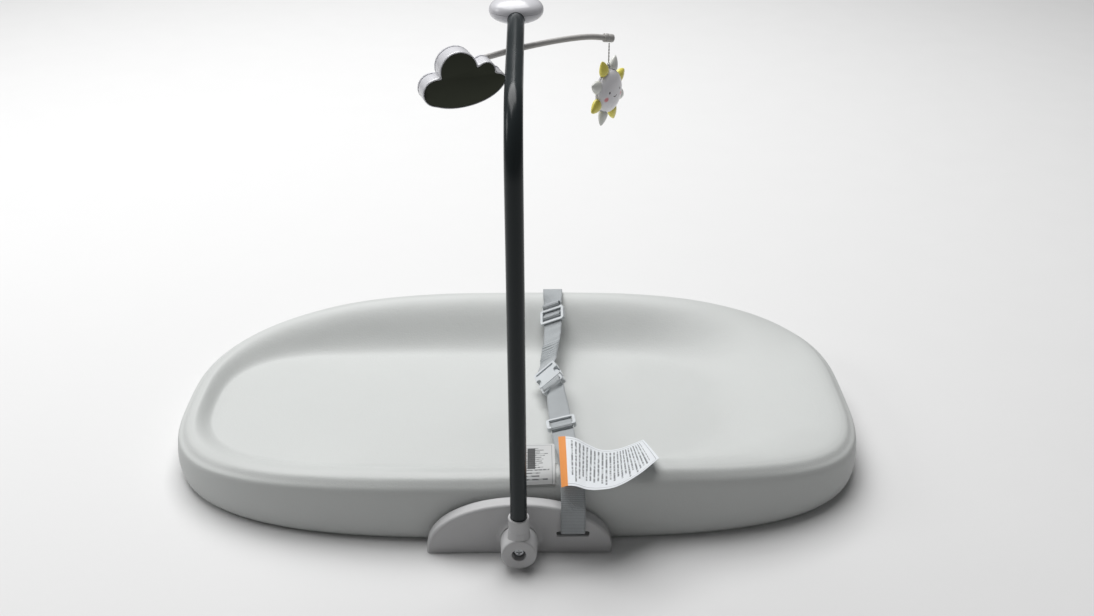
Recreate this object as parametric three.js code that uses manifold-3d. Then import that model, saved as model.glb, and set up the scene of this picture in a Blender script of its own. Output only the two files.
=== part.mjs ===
// A contoured foam changing pad with a safety belt and a tilting toy arch.
// Millimetres, +Z up. The origin is the middle of the pad's flat underside, on the table top.
// +X runs along the pad towards the head end, +Y runs away from the side that carries the arch.
import * as THREE from 'three';
import { mergeVertices } from 'three/addons/utils/BufferGeometryUtils.js';
import Module from 'manifold-3d';

const wasm = await Module();
wasm.setup();

// ---------- driving dimensions ----------
const GAP = 0.3;                    // clearance kept between touching pieces
const PAD_HALF_LENGTH = 400;
const PAD_HALF_WIDTH = 213.3;
const FOOT_SQUARENESS = 2.95;       // superellipse exponents of the two halves of the outline
const HEAD_SQUARENESS = 3.35;
const CREASE_INSET = 8;             // the crease between the wall and the top
const REAR_CREASE_Z = 78;
const FRONT_FOOT_CREASE_Z = 70;
const FRONT_HEAD_CREASE_Z = 80;
const FOOT_END_CREASE_Z = 46;
const HEAD_END_CREASE_Z = 50;
const CREST_RISE = 6;               // the rim's crest above its crease
const CREST_INSET = 20;
const FLOOR_Z = 34;
const FLOOR_END_RISE = 4;           // the lying surface is a little higher near both ends
const HEAD_SLOPE_RUN = 150;         // how far the inner slope runs in from the crest
const FOOT_SLOPE_RUN = 16;
const SIDE_SLOPE_RUN = 78;
const OVERCUT = 5;                  // how far a cutting tool reaches past the face it cuts

const BRACKET_X = 5;                // the arch stands a little towards the head end
const PLATE_FRONT_Y = -231.2;
const PLATE_THICKNESS = 16.5;
const PLATE_WIDTH = 196;
const PLATE_HEIGHT = 63;
const TONGUE = { halfWidth: 33, length: 92, thickness: 3 };
const HUB_Z = 22.6;
const BOSS_END_Y = -236.5;
const HUB_FACE_Y = -262;
const HUB_RADIUS = 18.5;
const PIVOT_BORE_RADIUS = 3.5;
const NUT_POCKET_RADIUS = 6.4;
const MAST_Y = -249.5;
const MAST_RADIUS = 8.6;
const SOCKET_RADIUS = 11;
const SOCKET_TOP_Z = 63;
const SOCKET_FLOOR_Z = 30;
const MAST_STRAIGHT_TOP_Z = 430;
const MAST_BEND_RADIUS = 65;
const MAST_BEND_ANGLE = THREE.MathUtils.degToRad(84);
const MAST_END_Y = -13;
const SOCKET_SCREW_Z = 54;
const SOCKET_SCREW_HOLE_RADIUS = 1.8;
const CAP = { radius: 28, halfHeight: 12.6, wall: 2.4 };
const CAP_CENTRE = new THREE.Vector3(5, 0, 516.6);
const CAP_SCREW_X = 15;
const CAP_SCREW_Y = 6;
const CAP_SCREW_SEAT = -9.8;
const CAP_SCREW_HEAD_RADIUS = 2.6;
const CAP_PILOT_RADIUS = 1.6;
const SPINDLE_RADIUS = 3.3;
const BAR_PIVOT = new THREE.Vector3(5, 0, 475.6);
const BAR_RADIUS = 3.2;
const BAR_HEAD_END = new THREE.Vector3(104, 50, 472.6);

const CLOUD_CENTRE = new THREE.Vector3(-51, -55, 463);
const CLOUD_TURN = THREE.MathUtils.degToRad(21);
const CLOUD_LEAN = THREE.MathUtils.degToRad(4);
const CLOUD_DEPTH = 20;
const BALL_RADIUS = 4.5;
const BALL_Y = 17.5;                // the ball's place behind the middle of the cloud

const SUN_CENTRE = new THREE.Vector3(104, 50, 414);
const SUN_TURN = THREE.MathUtils.degToRad(58);
const SUN_DISC_RADIUS = 24;
const SUN_RAYS = 8;
const EYELET = { lift: 3.2, radius: 2, wire: 0.8 };
const CORD_RADIUS = 0.8;

const BELT_WIDTH = 25.4;
const BELT_THICKNESS = 1.6;
const CHANNEL_WIDTH = 33;
const CHANNEL_DEPTH = 4;
const BUCKLE_CENTRE = new THREE.Vector3(39.2, 24.8, 58);
const BUCKLE_TURN = THREE.MathUtils.degToRad(15);
const BUCKLE_ROLL = THREE.MathUtils.degToRad(-38);
const PRONG_ROOT_Y = -10.2;
const SLOT = { x: 61.4, z: 25.4, halfLength: 17.5, height: 5.6 };

// ---------- finishes ----------
const FINISHES = {
  foam: { color: 0xc9cfca, roughness: 0.62 },
  bracket: { color: 0xc4c4c4, roughness: 0.45 },
  whitePlastic: { color: 0xf0f0f2, roughness: 0.22 },
  greyPlastic: { color: 0xb9b7b3, roughness: 0.4 },
  beltPlastic: { color: 0xbabdbd, roughness: 0.42 },
  paintedSteel: { color: 0x3a4244, roughness: 0.25, metalness: 0.4 },
  zincSteel: { color: 0x9aa0a2, roughness: 0.3, metalness: 0.9 },
  webbing: { color: 0xa3a8a8, roughness: 0.85 },
  rubber: { color: 0x4a4c4d, roughness: 0.8 },
  mirror: { color: 0x232620, roughness: 0.06, metalness: 1 },
  yellow: { color: 0xeae06a, roughness: 0.3 },
  paleGrey: { color: 0xd9dcd6, roughness: 0.35 },
  tagCloth: { color: 0xf4f4f2, roughness: 0.7 },
  cordYarn: { color: 0x9a9a96, roughness: 0.9 },
};

const group = new THREE.Group();
const mast = new THREE.Group();
group.add(mast);

function finish(name) {
  return new THREE.MeshStandardMaterial(FINISHES[name]);
}

function addMesh(parent, name, geometry, finishName) {
  const mesh = new THREE.Mesh(closed(geometry), finish(finishName));
  mesh.name = name;
  parent.add(mesh);
  return mesh;
}

// ---------- closed solids ----------
function signedVolume(geometry) {
  const place = geometry.attributes.position;
  const corners = [0, 1, 2].map(() => new THREE.Vector3());
  let volume = 0;
  for (let i = 0; i < geometry.index.count; i += 3) {
    corners.forEach((corner, k) => corner.fromBufferAttribute(place, geometry.index.getX(i + k)));
    volume += corners[0].dot(corners[1].cross(corners[2])) / 6;
  }
  return volume;
}

// The same shape with shared corners and every face pointing outwards.
function closed(geometry) {
  const plain = geometry.index ? geometry.toNonIndexed() : geometry.clone();
  plain.deleteAttribute('normal');
  plain.deleteAttribute('uv');
  const merged = mergeVertices(plain, 1e-4);
  if (signedVolume(merged) < 0) {
    const order = Array.from(merged.index.array);
    for (let i = 0; i < order.length; i += 3) [order[i], order[i + 1]] = [order[i + 1], order[i]];
    merged.setIndex(order);
  }
  return merged;
}

function toSolid(geometry) {
  const merged = closed(geometry);
  const mesh = new wasm.Mesh({
    numProp: 3,
    vertProperties: new Float32Array(merged.attributes.position.array),
    triVerts: new Uint32Array(merged.index.array),
  });
  return new wasm.Manifold(mesh);
}

function toGeometry(solid) {
  const mesh = solid.getMesh();
  const geometry = new THREE.BufferGeometry();
  geometry.setAttribute('position', new THREE.BufferAttribute(new Float32Array(mesh.vertProperties), 3));
  geometry.setIndex(new THREE.BufferAttribute(new Uint32Array(mesh.triVerts), 1));
  return geometry;
}

function cut(base, ...tools) {
  return toGeometry(tools.reduce((solid, tool) => solid.subtract(toSolid(tool)), toSolid(base)));
}

function join(base, ...others) {
  return toGeometry(others.reduce((solid, other) => solid.add(toSolid(other)), toSolid(base)));
}

function box(sizeX, sizeY, sizeZ, x = 0, y = 0, z = 0) {
  return new THREE.BoxGeometry(sizeX, sizeY, sizeZ).translate(x, y, z);
}

// A cylinder along 'x', 'y' or 'z', centred on the given point.
function rod(axis, radius, length, x, y, z, sides = 24) {
  const geometry = new THREE.CylinderGeometry(radius, radius, length, sides);
  if (axis === 'x') geometry.rotateZ(Math.PI / 2);
  if (axis === 'z') geometry.rotateX(Math.PI / 2);
  return geometry.translate(x, y, z);
}

// A solid of revolution about Y or Z: profile points are [radius, place along the axis].
function turned(axis, profile, sides = 32) {
  const points = profile.map(([radius, along]) => new THREE.Vector2(radius, along));
  const geometry = new THREE.LatheGeometry(points, sides);
  return axis === 'z' ? geometry.rotateX(Math.PI / 2) : geometry;
}

// A round bar along a curve.
function roundBar(curve, radius, steps, sides = 12) {
  const section = new THREE.Shape();
  section.absarc(0, 0, radius, 0, Math.PI * 2);
  return new THREE.ExtrudeGeometry(section, { steps, curveSegments: sides, extrudePath: curve });
}

function smoothstep(from, to, value) {
  const t = THREE.MathUtils.clamp((value - from) / (to - from), 0, 1);
  return t * t * (3 - 2 * t);
}

// A closed skin over rings of points: the first and last rings shrink to a centre point.
function ringSkin(rings, firstCentre, lastCentre) {
  const count = rings[0].length;
  const positions = rings.flat().flatMap((p) => [p.x, p.y, p.z]);
  positions.push(firstCentre.x, firstCentre.y, firstCentre.z, lastCentre.x, lastCentre.y, lastCentre.z);
  const first = rings.length * count;
  const index = [];
  for (let i = 0; i < count; i++) {
    const next = (i + 1) % count;
    index.push(first, next, i);
    for (let r = 0; r < rings.length - 1; r++) {
      const low = r * count;
      const high = low + count;
      index.push(low + i, low + next, high + next, low + i, high + next, high + i);
    }
    const top = (rings.length - 1) * count;
    index.push(first + 1, top + i, top + next);
  }
  const geometry = new THREE.BufferGeometry();
  geometry.setAttribute('position', new THREE.Float32BufferAttribute(positions, 3));
  geometry.setIndex(index);
  return geometry;
}

// ---------- the foam pad ----------
const PAD_SIDES = 80;

function padOutline(angle, inset) {
  const c = Math.cos(angle);
  const s = Math.sin(angle);
  const power = 2 / (c > 0 ? HEAD_SQUARENESS : FOOT_SQUARENESS);
  return {
    x: (PAD_HALF_LENGTH - inset) * Math.sign(c) * Math.abs(c) ** power,
    y: (PAD_HALF_WIDTH - inset) * Math.sign(s) * Math.abs(s) ** power,
  };
}

function creaseHeight(angle) {
  const c = Math.cos(angle);
  const s = Math.sin(angle);
  const { x } = padOutline(angle, 0);
  const rise = smoothstep(-30, 120, x);
  const front = FRONT_FOOT_CREASE_Z + (FRONT_HEAD_CREASE_Z - FRONT_FOOT_CREASE_Z) * rise;
  const side = s < 0 ? front : REAR_CREASE_Z;
  const end = c > 0 ? HEAD_END_CREASE_Z : FOOT_END_CREASE_Z;
  return end + (side - end) * Math.abs(s) ** 2.3;
}

// How far the inner slope runs in from the crest: a short step at the foot end, a broad bowl
// at the head end, and a medium slope along both sides.
function slopeRun(angle) {
  const alongSide = Math.abs(Math.sin(angle)) ** 1.5;
  const atEnd = Math.cos(angle) > 0 ? HEAD_SLOPE_RUN : FOOT_SLOPE_RUN;
  return atEnd + (SIDE_SLOPE_RUN - atEnd) * alongSide;
}

function floorHeight(x) {
  return FLOOR_Z + FLOOR_END_RISE * smoothstep(150, 380, Math.abs(x));
}

function padRing(placeAt) {
  const ring = [];
  for (let i = 0; i < PAD_SIDES; i++) {
    const angle = (i / PAD_SIDES) * Math.PI * 2 + 1e-3;
    const { inset, z } = placeAt(angle);
    const { x, y } = padOutline(angle, inset);
    ring.push(new THREE.Vector3(x, y, z(x)));
  }
  return ring;
}

function padSolid() {
  const wall = [[6, 0, 0], [2, 0, 6], [0, 0, 20], [1, 0.55, 8], [3.5, 0.86, 4], [CREASE_INSET, 1, 0]];
  const rings = wall.map(([inset, share, lift]) =>
    padRing((a) => ({ inset, z: () => Math.min(creaseHeight(a) * share + lift, creaseHeight(a)) })));
  for (const [inset, share] of [[13, 0.7], [CREST_INSET, 1]]) {
    rings.push(padRing((a) => ({ inset, z: () => creaseHeight(a) + CREST_RISE * share })));
  }
  for (const t of [0.14, 0.3, 0.5, 0.7, 0.86, 1]) {
    rings.push(padRing((a) => {
      const crest = creaseHeight(a) + CREST_RISE;
      const fall = smoothstep(0, 1, t);
      return {
        inset: CREST_INSET + slopeRun(a) * t,
        z: (x) => crest + (floorHeight(x) - crest) * fall,
      };
    }));
  }
  const inner = rings[rings.length - 1];
  for (const share of [0.62, 0.3]) {
    rings.push(inner.map((p) => new THREE.Vector3(p.x * share, p.y * share, floorHeight(p.x * share) - 1)));
  }
  const underside = rings[0].map((p) => new THREE.Vector3(p.x * 0.5, p.y * 0.5, 0));
  return ringSkin([underside, ...rings], new THREE.Vector3(0, 0, 0), new THREE.Vector3(0, 0, FLOOR_Z - 1.5));
}

const FOOT_PLACES = [[-280, -110], [280, -110], [280, 110], [-280, 110]];
const FOOT_RADIUS = 17;
const FOOT_THICKNESS = 3;
const REAR_BELT_X = 46;

// The shallow channel under the pad that carries the belt from the slot to the rear wall.
function channelTool() {
  const frontY = -PAD_HALF_WIDTH - OVERCUT;
  const rearY = PAD_HALF_WIDTH + OVERCUT;
  const half = CHANNEL_WIDTH / 2;
  const outline = new THREE.Shape([
    new THREE.Vector2(SLOT.x - half, frontY),
    new THREE.Vector2(SLOT.x + half, frontY),
    new THREE.Vector2(REAR_BELT_X + half, rearY),
    new THREE.Vector2(REAR_BELT_X - half, rearY),
  ]);
  const depth = CHANNEL_DEPTH + OVERCUT;
  return new THREE.ExtrudeGeometry(outline, { depth, bevelEnabled: false }).translate(0, 0, -OVERCUT);
}

function addPad() {
  const tools = [channelTool()];
  const recessLength = TONGUE.length + GAP + OVERCUT;
  const recessY = -PAD_HALF_WIDTH - OVERCUT + recessLength / 2;
  const recessWidth = 2 * (TONGUE.halfWidth + GAP);
  tools.push(box(recessWidth, recessLength, 2 * (TONGUE.thickness + GAP), BRACKET_X, recessY, 0));
  for (const [x, y] of FOOT_PLACES) {
    tools.push(rod('z', FOOT_RADIUS + GAP, 2 * (FOOT_THICKNESS + GAP), x, y, 0));
  }
  addMesh(group, 'foam_pad', cut(padSolid(), ...tools), 'foam');
  FOOT_PLACES.forEach(([x, y], i) => {
    const foot = turned('z', [[0, 0], [FOOT_RADIUS - 1, 0], [FOOT_RADIUS, 1], [FOOT_RADIUS, FOOT_THICKNESS],
      [0, FOOT_THICKNESS]], 24);
    addMesh(group, `grip_foot_${i + 1}`, foot, 'rubber').position.set(x, y, 0);
  });
}

// ---------- the half-moon bracket ----------
function plateOutline() {
  const half = PLATE_WIDTH / 2;
  const endHeight = 5;
  const outline = new THREE.Shape();
  outline.moveTo(-half, 0);
  outline.lineTo(half, 0);
  outline.lineTo(half, endHeight);
  outline.absellipse(0, endHeight, half, PLATE_HEIGHT - endHeight, 0, Math.PI, false);
  outline.lineTo(-half, 0);
  return outline;
}

function addBracket() {
  const bevel = 2.4;
  const plate = new THREE.ExtrudeGeometry(plateOutline(), {
    depth: PLATE_THICKNESS - 2 * bevel,
    curveSegments: 32,
    bevelThickness: bevel,
    bevelSize: bevel,
    bevelOffset: -bevel,
    bevelSegments: 3,
  });
  plate.rotateX(Math.PI / 2).translate(BRACKET_X, PLATE_FRONT_Y + PLATE_THICKNESS - bevel, 0);
  const bossLength = PLATE_FRONT_Y - BOSS_END_Y;
  const boss = turned('y', [[0, -4], [25, -4], [25, 0], [22.4, 1.4], [21.2, 3.6],
    [HUB_RADIUS + 1.6, bossLength], [0, bossLength]]);
  boss.rotateX(Math.PI).translate(BRACKET_X, PLATE_FRONT_Y, HUB_Z);
  const tongueBackY = -PAD_HALF_WIDTH + TONGUE.length;
  const tongueFrontY = PLATE_FRONT_Y + 6;
  const tongue = box(2 * TONGUE.halfWidth, tongueBackY - tongueFrontY, TONGUE.thickness, BRACKET_X,
    (tongueBackY + tongueFrontY) / 2, TONGUE.thickness / 2);
  const belowTable = box(400, 200, 20, BRACKET_X, PLATE_FRONT_Y, -10);
  const slot = box(2 * SLOT.halfLength, 40, SLOT.height, SLOT.x, PLATE_FRONT_Y + 8, SLOT.z);
  const pocketTop = SLOT.z + SLOT.height / 2;
  const pocket = box(2 * SLOT.halfLength, 12, pocketTop + 2, SLOT.x, PLATE_FRONT_Y + PLATE_THICKNESS + 0.5,
    pocketTop / 2 - 1);
  const bore = rod('y', PIVOT_BORE_RADIUS, 60, BRACKET_X, PLATE_FRONT_Y, HUB_Z);
  const nutPocket = rod('y', NUT_POCKET_RADIUS, 12, BRACKET_X, PLATE_FRONT_Y + PLATE_THICKNESS, HUB_Z, 6);
  addMesh(group, 'bracket_plate',
    cut(join(plate, boss, tongue), belowTable, slot, pocket, bore, nutPocket), 'bracket');
}

// The pivot's fasteners: they stay with the bracket while the knuckle turns on them.
function addPivotFasteners() {
  const headY = HUB_FACE_Y + 5;
  const headLength = 3.4;
  const shankRadius = 3;
  const shankEndY = PLATE_FRONT_Y + PLATE_THICKNESS - 1.2;
  const shankLength = shankEndY - headY - headLength;
  const head = turned('y', [[0, 0], [4.6, 0], [5.4, 0.9], [5.4, headLength], [shankRadius, headLength],
    [shankRadius, headLength + shankLength], [0, headLength + shankLength]], 20);
  head.translate(BRACKET_X, headY, HUB_Z);
  const crossA = box(6, 3.6, 1.2, BRACKET_X, headY, HUB_Z);
  const crossB = box(1.2, 3.6, 6, BRACKET_X, headY, HUB_Z);
  addMesh(group, 'pivot_screw', cut(head, crossA, crossB), 'zincSteel');

  const nutThickness = 4.6;
  const nutY = PLATE_FRONT_Y + PLATE_THICKNESS - 6 + GAP + nutThickness / 2;
  const nut = cut(rod('y', NUT_POCKET_RADIUS - 2 * GAP, nutThickness, BRACKET_X, nutY, HUB_Z, 6),
    rod('y', shankRadius + GAP, 20, BRACKET_X, nutY, HUB_Z, 20));
  addMesh(group, 'pivot_nut', nut, 'zincSteel');

  addMesh(group, 'friction_washer', ringAlongY(14, 3.6, 0.8, BOSS_END_Y - GAP - 0.4), 'zincSteel');
  addMesh(group, 'screw_washer', ringAlongY(6.4, 3.4, 1, headY + headLength + GAP + 0.5), 'zincSteel');
}

function ringAlongY(outer, inner, thickness, middleY) {
  const disc = rod('y', outer, thickness, BRACKET_X, middleY, HUB_Z, 28);
  return cut(disc, rod('y', inner, thickness * 4, BRACKET_X, middleY, HUB_Z, 20));
}

// ---------- the tilting mast ----------
function addKnuckle() {
  const backY = BOSS_END_Y - 1.4;
  const depth = backY - HUB_FACE_Y;
  const barrel = turned('y', [[0, 0], [HUB_RADIUS - 1.2, 0], [HUB_RADIUS - 0.3, 0.5], [HUB_RADIUS, 1.4],
    [HUB_RADIUS + 1.1, depth], [0, depth]], 36).translate(BRACKET_X, HUB_FACE_Y, HUB_Z);
  const socketLength = SOCKET_TOP_Z - HUB_Z;
  const socket = new THREE.CylinderGeometry(SOCKET_RADIUS - 0.6, SOCKET_RADIUS, socketLength, 28);
  socket.rotateX(Math.PI / 2).translate(BRACKET_X, MAST_Y, HUB_Z + socketLength / 2);
  const screwRecess = rod('y', 7.3, 20, BRACKET_X, HUB_FACE_Y, HUB_Z);
  const screwHole = rod('y', PIVOT_BORE_RADIUS, 80, BRACKET_X, HUB_FACE_Y, HUB_Z);
  const tubeBore = rod('z', MAST_RADIUS + GAP, 60, BRACKET_X, MAST_Y, SOCKET_FLOOR_Z + 30, 28);
  const rearHoleY = MAST_Y + SOCKET_RADIUS;
  const rearHole = rod('y', SOCKET_SCREW_HOLE_RADIUS, 12, BRACKET_X, rearHoleY, SOCKET_SCREW_Z, 12);
  const knuckle = cut(join(barrel, socket), screwRecess, screwHole, tubeBore, rearHole);
  addMesh(mast, 'mast_knuckle', knuckle, 'bracket');
}

// The tube's centre line: straight up, one bend over the pad, then a slight rise to the cap.
// It is stepped evenly in t, and most of t is spent in the bend.
const BEND_FROM_T = 0.1;
const BEND_TO_T = 0.9;

class MastPath extends THREE.Curve {
  getUtoTmapping(u) {
    return u;
  }

  getPoint(t, target = new THREE.Vector3()) {
    const foot = SOCKET_FLOOR_Z + GAP;
    if (t <= BEND_FROM_T) {
      return target.set(BRACKET_X, MAST_Y, THREE.MathUtils.lerp(foot, MAST_STRAIGHT_TOP_Z, t / BEND_FROM_T));
    }
    const bendReach = MAST_BEND_RADIUS * (1 - Math.cos(MAST_BEND_ANGLE));
    const arm = (MAST_END_Y - MAST_Y - bendReach) / Math.sin(MAST_BEND_ANGLE);
    const angle = MAST_BEND_ANGLE * Math.min((t - BEND_FROM_T) / (BEND_TO_T - BEND_FROM_T), 1);
    const beyond = arm * Math.max((t - BEND_TO_T) / (1 - BEND_TO_T), 0);
    const y = MAST_Y + MAST_BEND_RADIUS * (1 - Math.cos(angle)) + beyond * Math.sin(angle);
    const z = MAST_STRAIGHT_TOP_Z + MAST_BEND_RADIUS * Math.sin(angle) + beyond * Math.cos(angle);
    return target.set(BRACKET_X, y, z);
  }
}

function addMastTube() {
  const wall = 1.2;
  const section = new THREE.Shape();
  section.absarc(0, 0, MAST_RADIUS, 0, Math.PI * 2);
  const hollow = new THREE.Path();
  hollow.absarc(0, 0, MAST_RADIUS - wall, 0, Math.PI * 2);
  section.holes.push(hollow);
  const tube = new THREE.ExtrudeGeometry(section, { steps: 20, curveSegments: 8, extrudePath: new MastPath() });
  addMesh(mast, 'mast_tube', tube, 'paintedSteel');

  const plug = turned('z', [[0, 0], [6.2, 0], [6.8, 0.8], [6.8, 14], [0, 14]], 20);
  addMesh(mast, 'tube_foot_plug', plug, 'rubber').position.set(BRACKET_X, MAST_Y, SOCKET_FLOOR_Z + 4);

  const screwY = MAST_Y + MAST_RADIUS + GAP;
  const screw = turned('y', [[0, 0], [1.4, 0], [1.4, 2.2], [2.8, 2.2], [2.8, 3.6], [0, 3.6]], 14);
  addMesh(mast, 'socket_screw', screw, 'zincSteel').position.set(BRACKET_X, screwY, SOCKET_SCREW_Z);
}

// ---------- the cap ----------
// A half shell of a flattened ovoid: side +1 is the upper half, -1 the lower half.
function capShell(side) {
  const steps = 6;
  const squash = 0.86;
  const arc = (radius, height) => Array.from({ length: steps + 1 }, (_, i) => {
    const angle = (i / steps) * (Math.PI / 2);
    const across = i === steps ? 0 : radius * Math.cos(angle) ** squash;
    return [across, side * Math.max(height * Math.sin(angle) ** squash, GAP / 2)];
  });
  const outer = arc(CAP.radius, CAP.halfHeight);
  const inner = arc(CAP.radius - CAP.wall, CAP.halfHeight - CAP.wall);
  return turned('z', [...outer.reverse(), ...inner], 30);
}

function addCap() {
  const cap = new THREE.Group();
  cap.position.copy(CAP_CENTRE);
  mast.add(cap);
  const tubeEnd = new MastPath().getPoint(1).sub(CAP_CENTRE);
  const tubeHole = rod('z', MAST_RADIUS + GAP, 40, 0, 0, -16, 28);
  tubeHole.rotateX(-MAST_BEND_ANGLE).translate(tubeEnd.x, tubeEnd.y, tubeEnd.z);
  const bearing = rod('z', SPINDLE_RADIUS + GAP, 30, 0, 0, -10, 20);
  const screwHoles = [-CAP_SCREW_X, CAP_SCREW_X].flatMap((x) => [
    rod('z', 1.9, 20, x, CAP_SCREW_Y, -12, 12),
    rod('z', CAP_SCREW_HEAD_RADIUS + GAP, 10, x, CAP_SCREW_Y, CAP_SCREW_SEAT - 5, 12),
  ]);
  addMesh(cap, 'cap_lower', cut(capShell(-1), tubeHole, bearing, ...screwHoles), 'whitePlastic');

  const posts = [-CAP_SCREW_X, CAP_SCREW_X].map((x) => rod('z', 3.4, 10.4, x, CAP_SCREW_Y, 4.4, 16));
  const pilots = [-CAP_SCREW_X, CAP_SCREW_X].map((x) => rod('z', CAP_PILOT_RADIUS, 8, x, CAP_SCREW_Y, 1, 12));
  const upper = cut(join(capShell(1), ...posts), tubeHole, ...pilots);
  addMesh(cap, 'cap_upper', upper, 'whitePlastic');

  [-CAP_SCREW_X, CAP_SCREW_X].forEach((x, i) => {
    const headLength = 1.2;
    const screw = turned('z', [[0, 0], [CAP_SCREW_HEAD_RADIUS, 0], [CAP_SCREW_HEAD_RADIUS, headLength],
      [1.2, headLength], [1.2, 13], [0, 13]], 12);
    const screwMesh = addMesh(cap, `cap_screw_${i + 1}`, screw, 'zincSteel');
    screwMesh.position.set(x, CAP_SCREW_Y, CAP_SCREW_SEAT - GAP - headLength);
  });
}

// ---------- the turning toy bar ----------
const cloudPose = new THREE.Euler(CLOUD_LEAN, 0, CLOUD_TURN, 'ZXY');
const barFootEnd = new THREE.Vector3(0, BALL_Y + 12, 0).applyEuler(cloudPose).add(CLOUD_CENTRE);

function barCurve() {
  return new THREE.CatmullRomCurve3([
    barFootEnd,
    new THREE.Vector3(-25, -12.5, 471),
    BAR_PIVOT,
    new THREE.Vector3(50, 23, 478.2),
    new THREE.Vector3(82.7, 39.5, 477),
    BAR_HEAD_END,
  ]);
}

function barHole(end) {
  const bore = roundBar(barCurve(), BAR_RADIUS + GAP, 24, 6);
  return end ? join(bore, new THREE.SphereGeometry(BAR_RADIUS + GAP, 12, 8).translate(...end.toArray())) : bore;
}

function addToyBar() {
  addMesh(group, 'toy_bar', roundBar(barCurve(), BAR_RADIUS, 24, 6), 'greyPlastic');

  const headZ = CAP_CENTRE.z - CAP.halfHeight + CAP.wall + 2;
  const collarTop = BAR_PIVOT.z + 6;
  const spindle = turned('z', [[0, BAR_PIVOT.z - 6], [5.4, BAR_PIVOT.z - 6], [6.4, BAR_PIVOT.z - 4.6],
    [6.4, collarTop - 1], [5.6, collarTop], [SPINDLE_RADIUS, collarTop], [SPINDLE_RADIUS, headZ],
    [SPINDLE_RADIUS + 2.4, headZ], [SPINDLE_RADIUS + 2.4, headZ + 1.8], [0, headZ + 1.8]], 20);
  const placed = spindle.translate(BAR_PIVOT.x, BAR_PIVOT.y, 0);
  addMesh(group, 'bar_spindle', cut(placed, barHole(null)), 'greyPlastic');

  const along = barCurve().getTangent(1);
  const sleeve = new THREE.LineCurve3(
    BAR_HEAD_END.clone().addScaledVector(along, -7), BAR_HEAD_END.clone().addScaledVector(along, 4.8));
  addMesh(group, 'bar_end_clip', cut(roundBar(sleeve, 4.7, 1, 8), barHole(BAR_HEAD_END)), 'greyPlastic');

  const ballStem = join(
    new THREE.SphereGeometry(BALL_RADIUS, 14, 8).translate(0, BALL_Y, 0),
    rod('y', 2.1, 12, 0, BALL_Y + 5, 0, 12),
    new THREE.SphereGeometry(5.6, 14, 8).translate(0, BALL_Y + 12, 0));
  ballStem.rotateX(CLOUD_LEAN).rotateZ(CLOUD_TURN).translate(...CLOUD_CENTRE.toArray());
  addMesh(group, 'cloud_ball', cut(ballStem, barHole(barFootEnd)), 'greyPlastic');
}

// ---------- the cloud with its safety mirror ----------
// Lobes are [across, up, radius]; the base is one long curve under them.
const CLOUD_LOBES = [[-27, -10, 15], [-4, 10.5, 20], [24.5, 7, 10.5], [37.5, -3.5, 8.5]];

function cloudSlab(inset, fromY, toY) {
  const depth = toY - fromY;
  const middle = (fromY + toY) / 2;
  const base = new THREE.Shape();
  base.moveTo(-40.5 + inset, -9);
  base.bezierCurveTo(-40.5 + inset, -37 + 1.4 * inset, 30 - inset, -35 + 1.4 * inset, 45 - inset, -7);
  base.quadraticCurveTo(12, 14 - inset, -40.5 + inset, -9);
  const slab = new THREE.ExtrudeGeometry(base, { depth, bevelEnabled: false, curveSegments: 10 });
  slab.rotateX(Math.PI / 2).translate(0, toY, 0);
  const lobes = CLOUD_LOBES.map(([x, z, radius]) => rod('y', radius - inset, depth, x, middle, z, 22));
  return join(slab, ...lobes);
}

function addCloud() {
  const cloud = new THREE.Group();
  cloud.position.copy(CLOUD_CENTRE);
  cloud.rotation.copy(cloudPose);
  group.add(cloud);
  const front = -CLOUD_DEPTH / 2;
  const rear = CLOUD_DEPTH / 2;
  const rim = 2.2;
  const pocketFloor = front + 4.6;
  const shell = cut(cloudSlab(0, front, rear - 2.2), cloudSlab(rim, front - 1, pocketFloor),
    cloudSlab(rim + 1.6, pocketFloor + 2, rear));
  addMesh(cloud, 'cloud_shell', shell, 'whitePlastic');
  addMesh(cloud, 'cloud_mirror', cloudSlab(rim + GAP, pocketFloor - GAP - 1.5, pocketFloor - GAP), 'mirror');

  const cupLength = BALL_Y + 2 - rear;
  const cup = rod('y', 7.4, cupLength, 0, rear + cupLength / 2 - 0.4, 0, 24);
  const ballSeat = new THREE.SphereGeometry(BALL_RADIUS + GAP, 14, 8).translate(0, BALL_Y, 0);
  const mouth = rod('y', 3.9, 12, 0, BALL_Y + 6, 0, 20);
  const back = cut(join(cloudSlab(0, rear - 1.9, rear), cup), ballSeat, mouth);
  addMesh(cloud, 'cloud_back', back, 'whitePlastic');
}

// ---------- the hanging sun ----------
function sunDome(depth, lift) {
  const steps = 6;
  const profile = [[0, lift]];
  for (let i = 0; i <= steps; i++) {
    const angle = (i / steps) * (Math.PI / 2);
    const across = i === steps ? 0 : SUN_DISC_RADIUS * Math.cos(angle) ** 0.8;
    profile.push([across, lift + depth * Math.sin(angle) ** 0.9]);
  }
  return turned('y', profile, 26);
}

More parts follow.
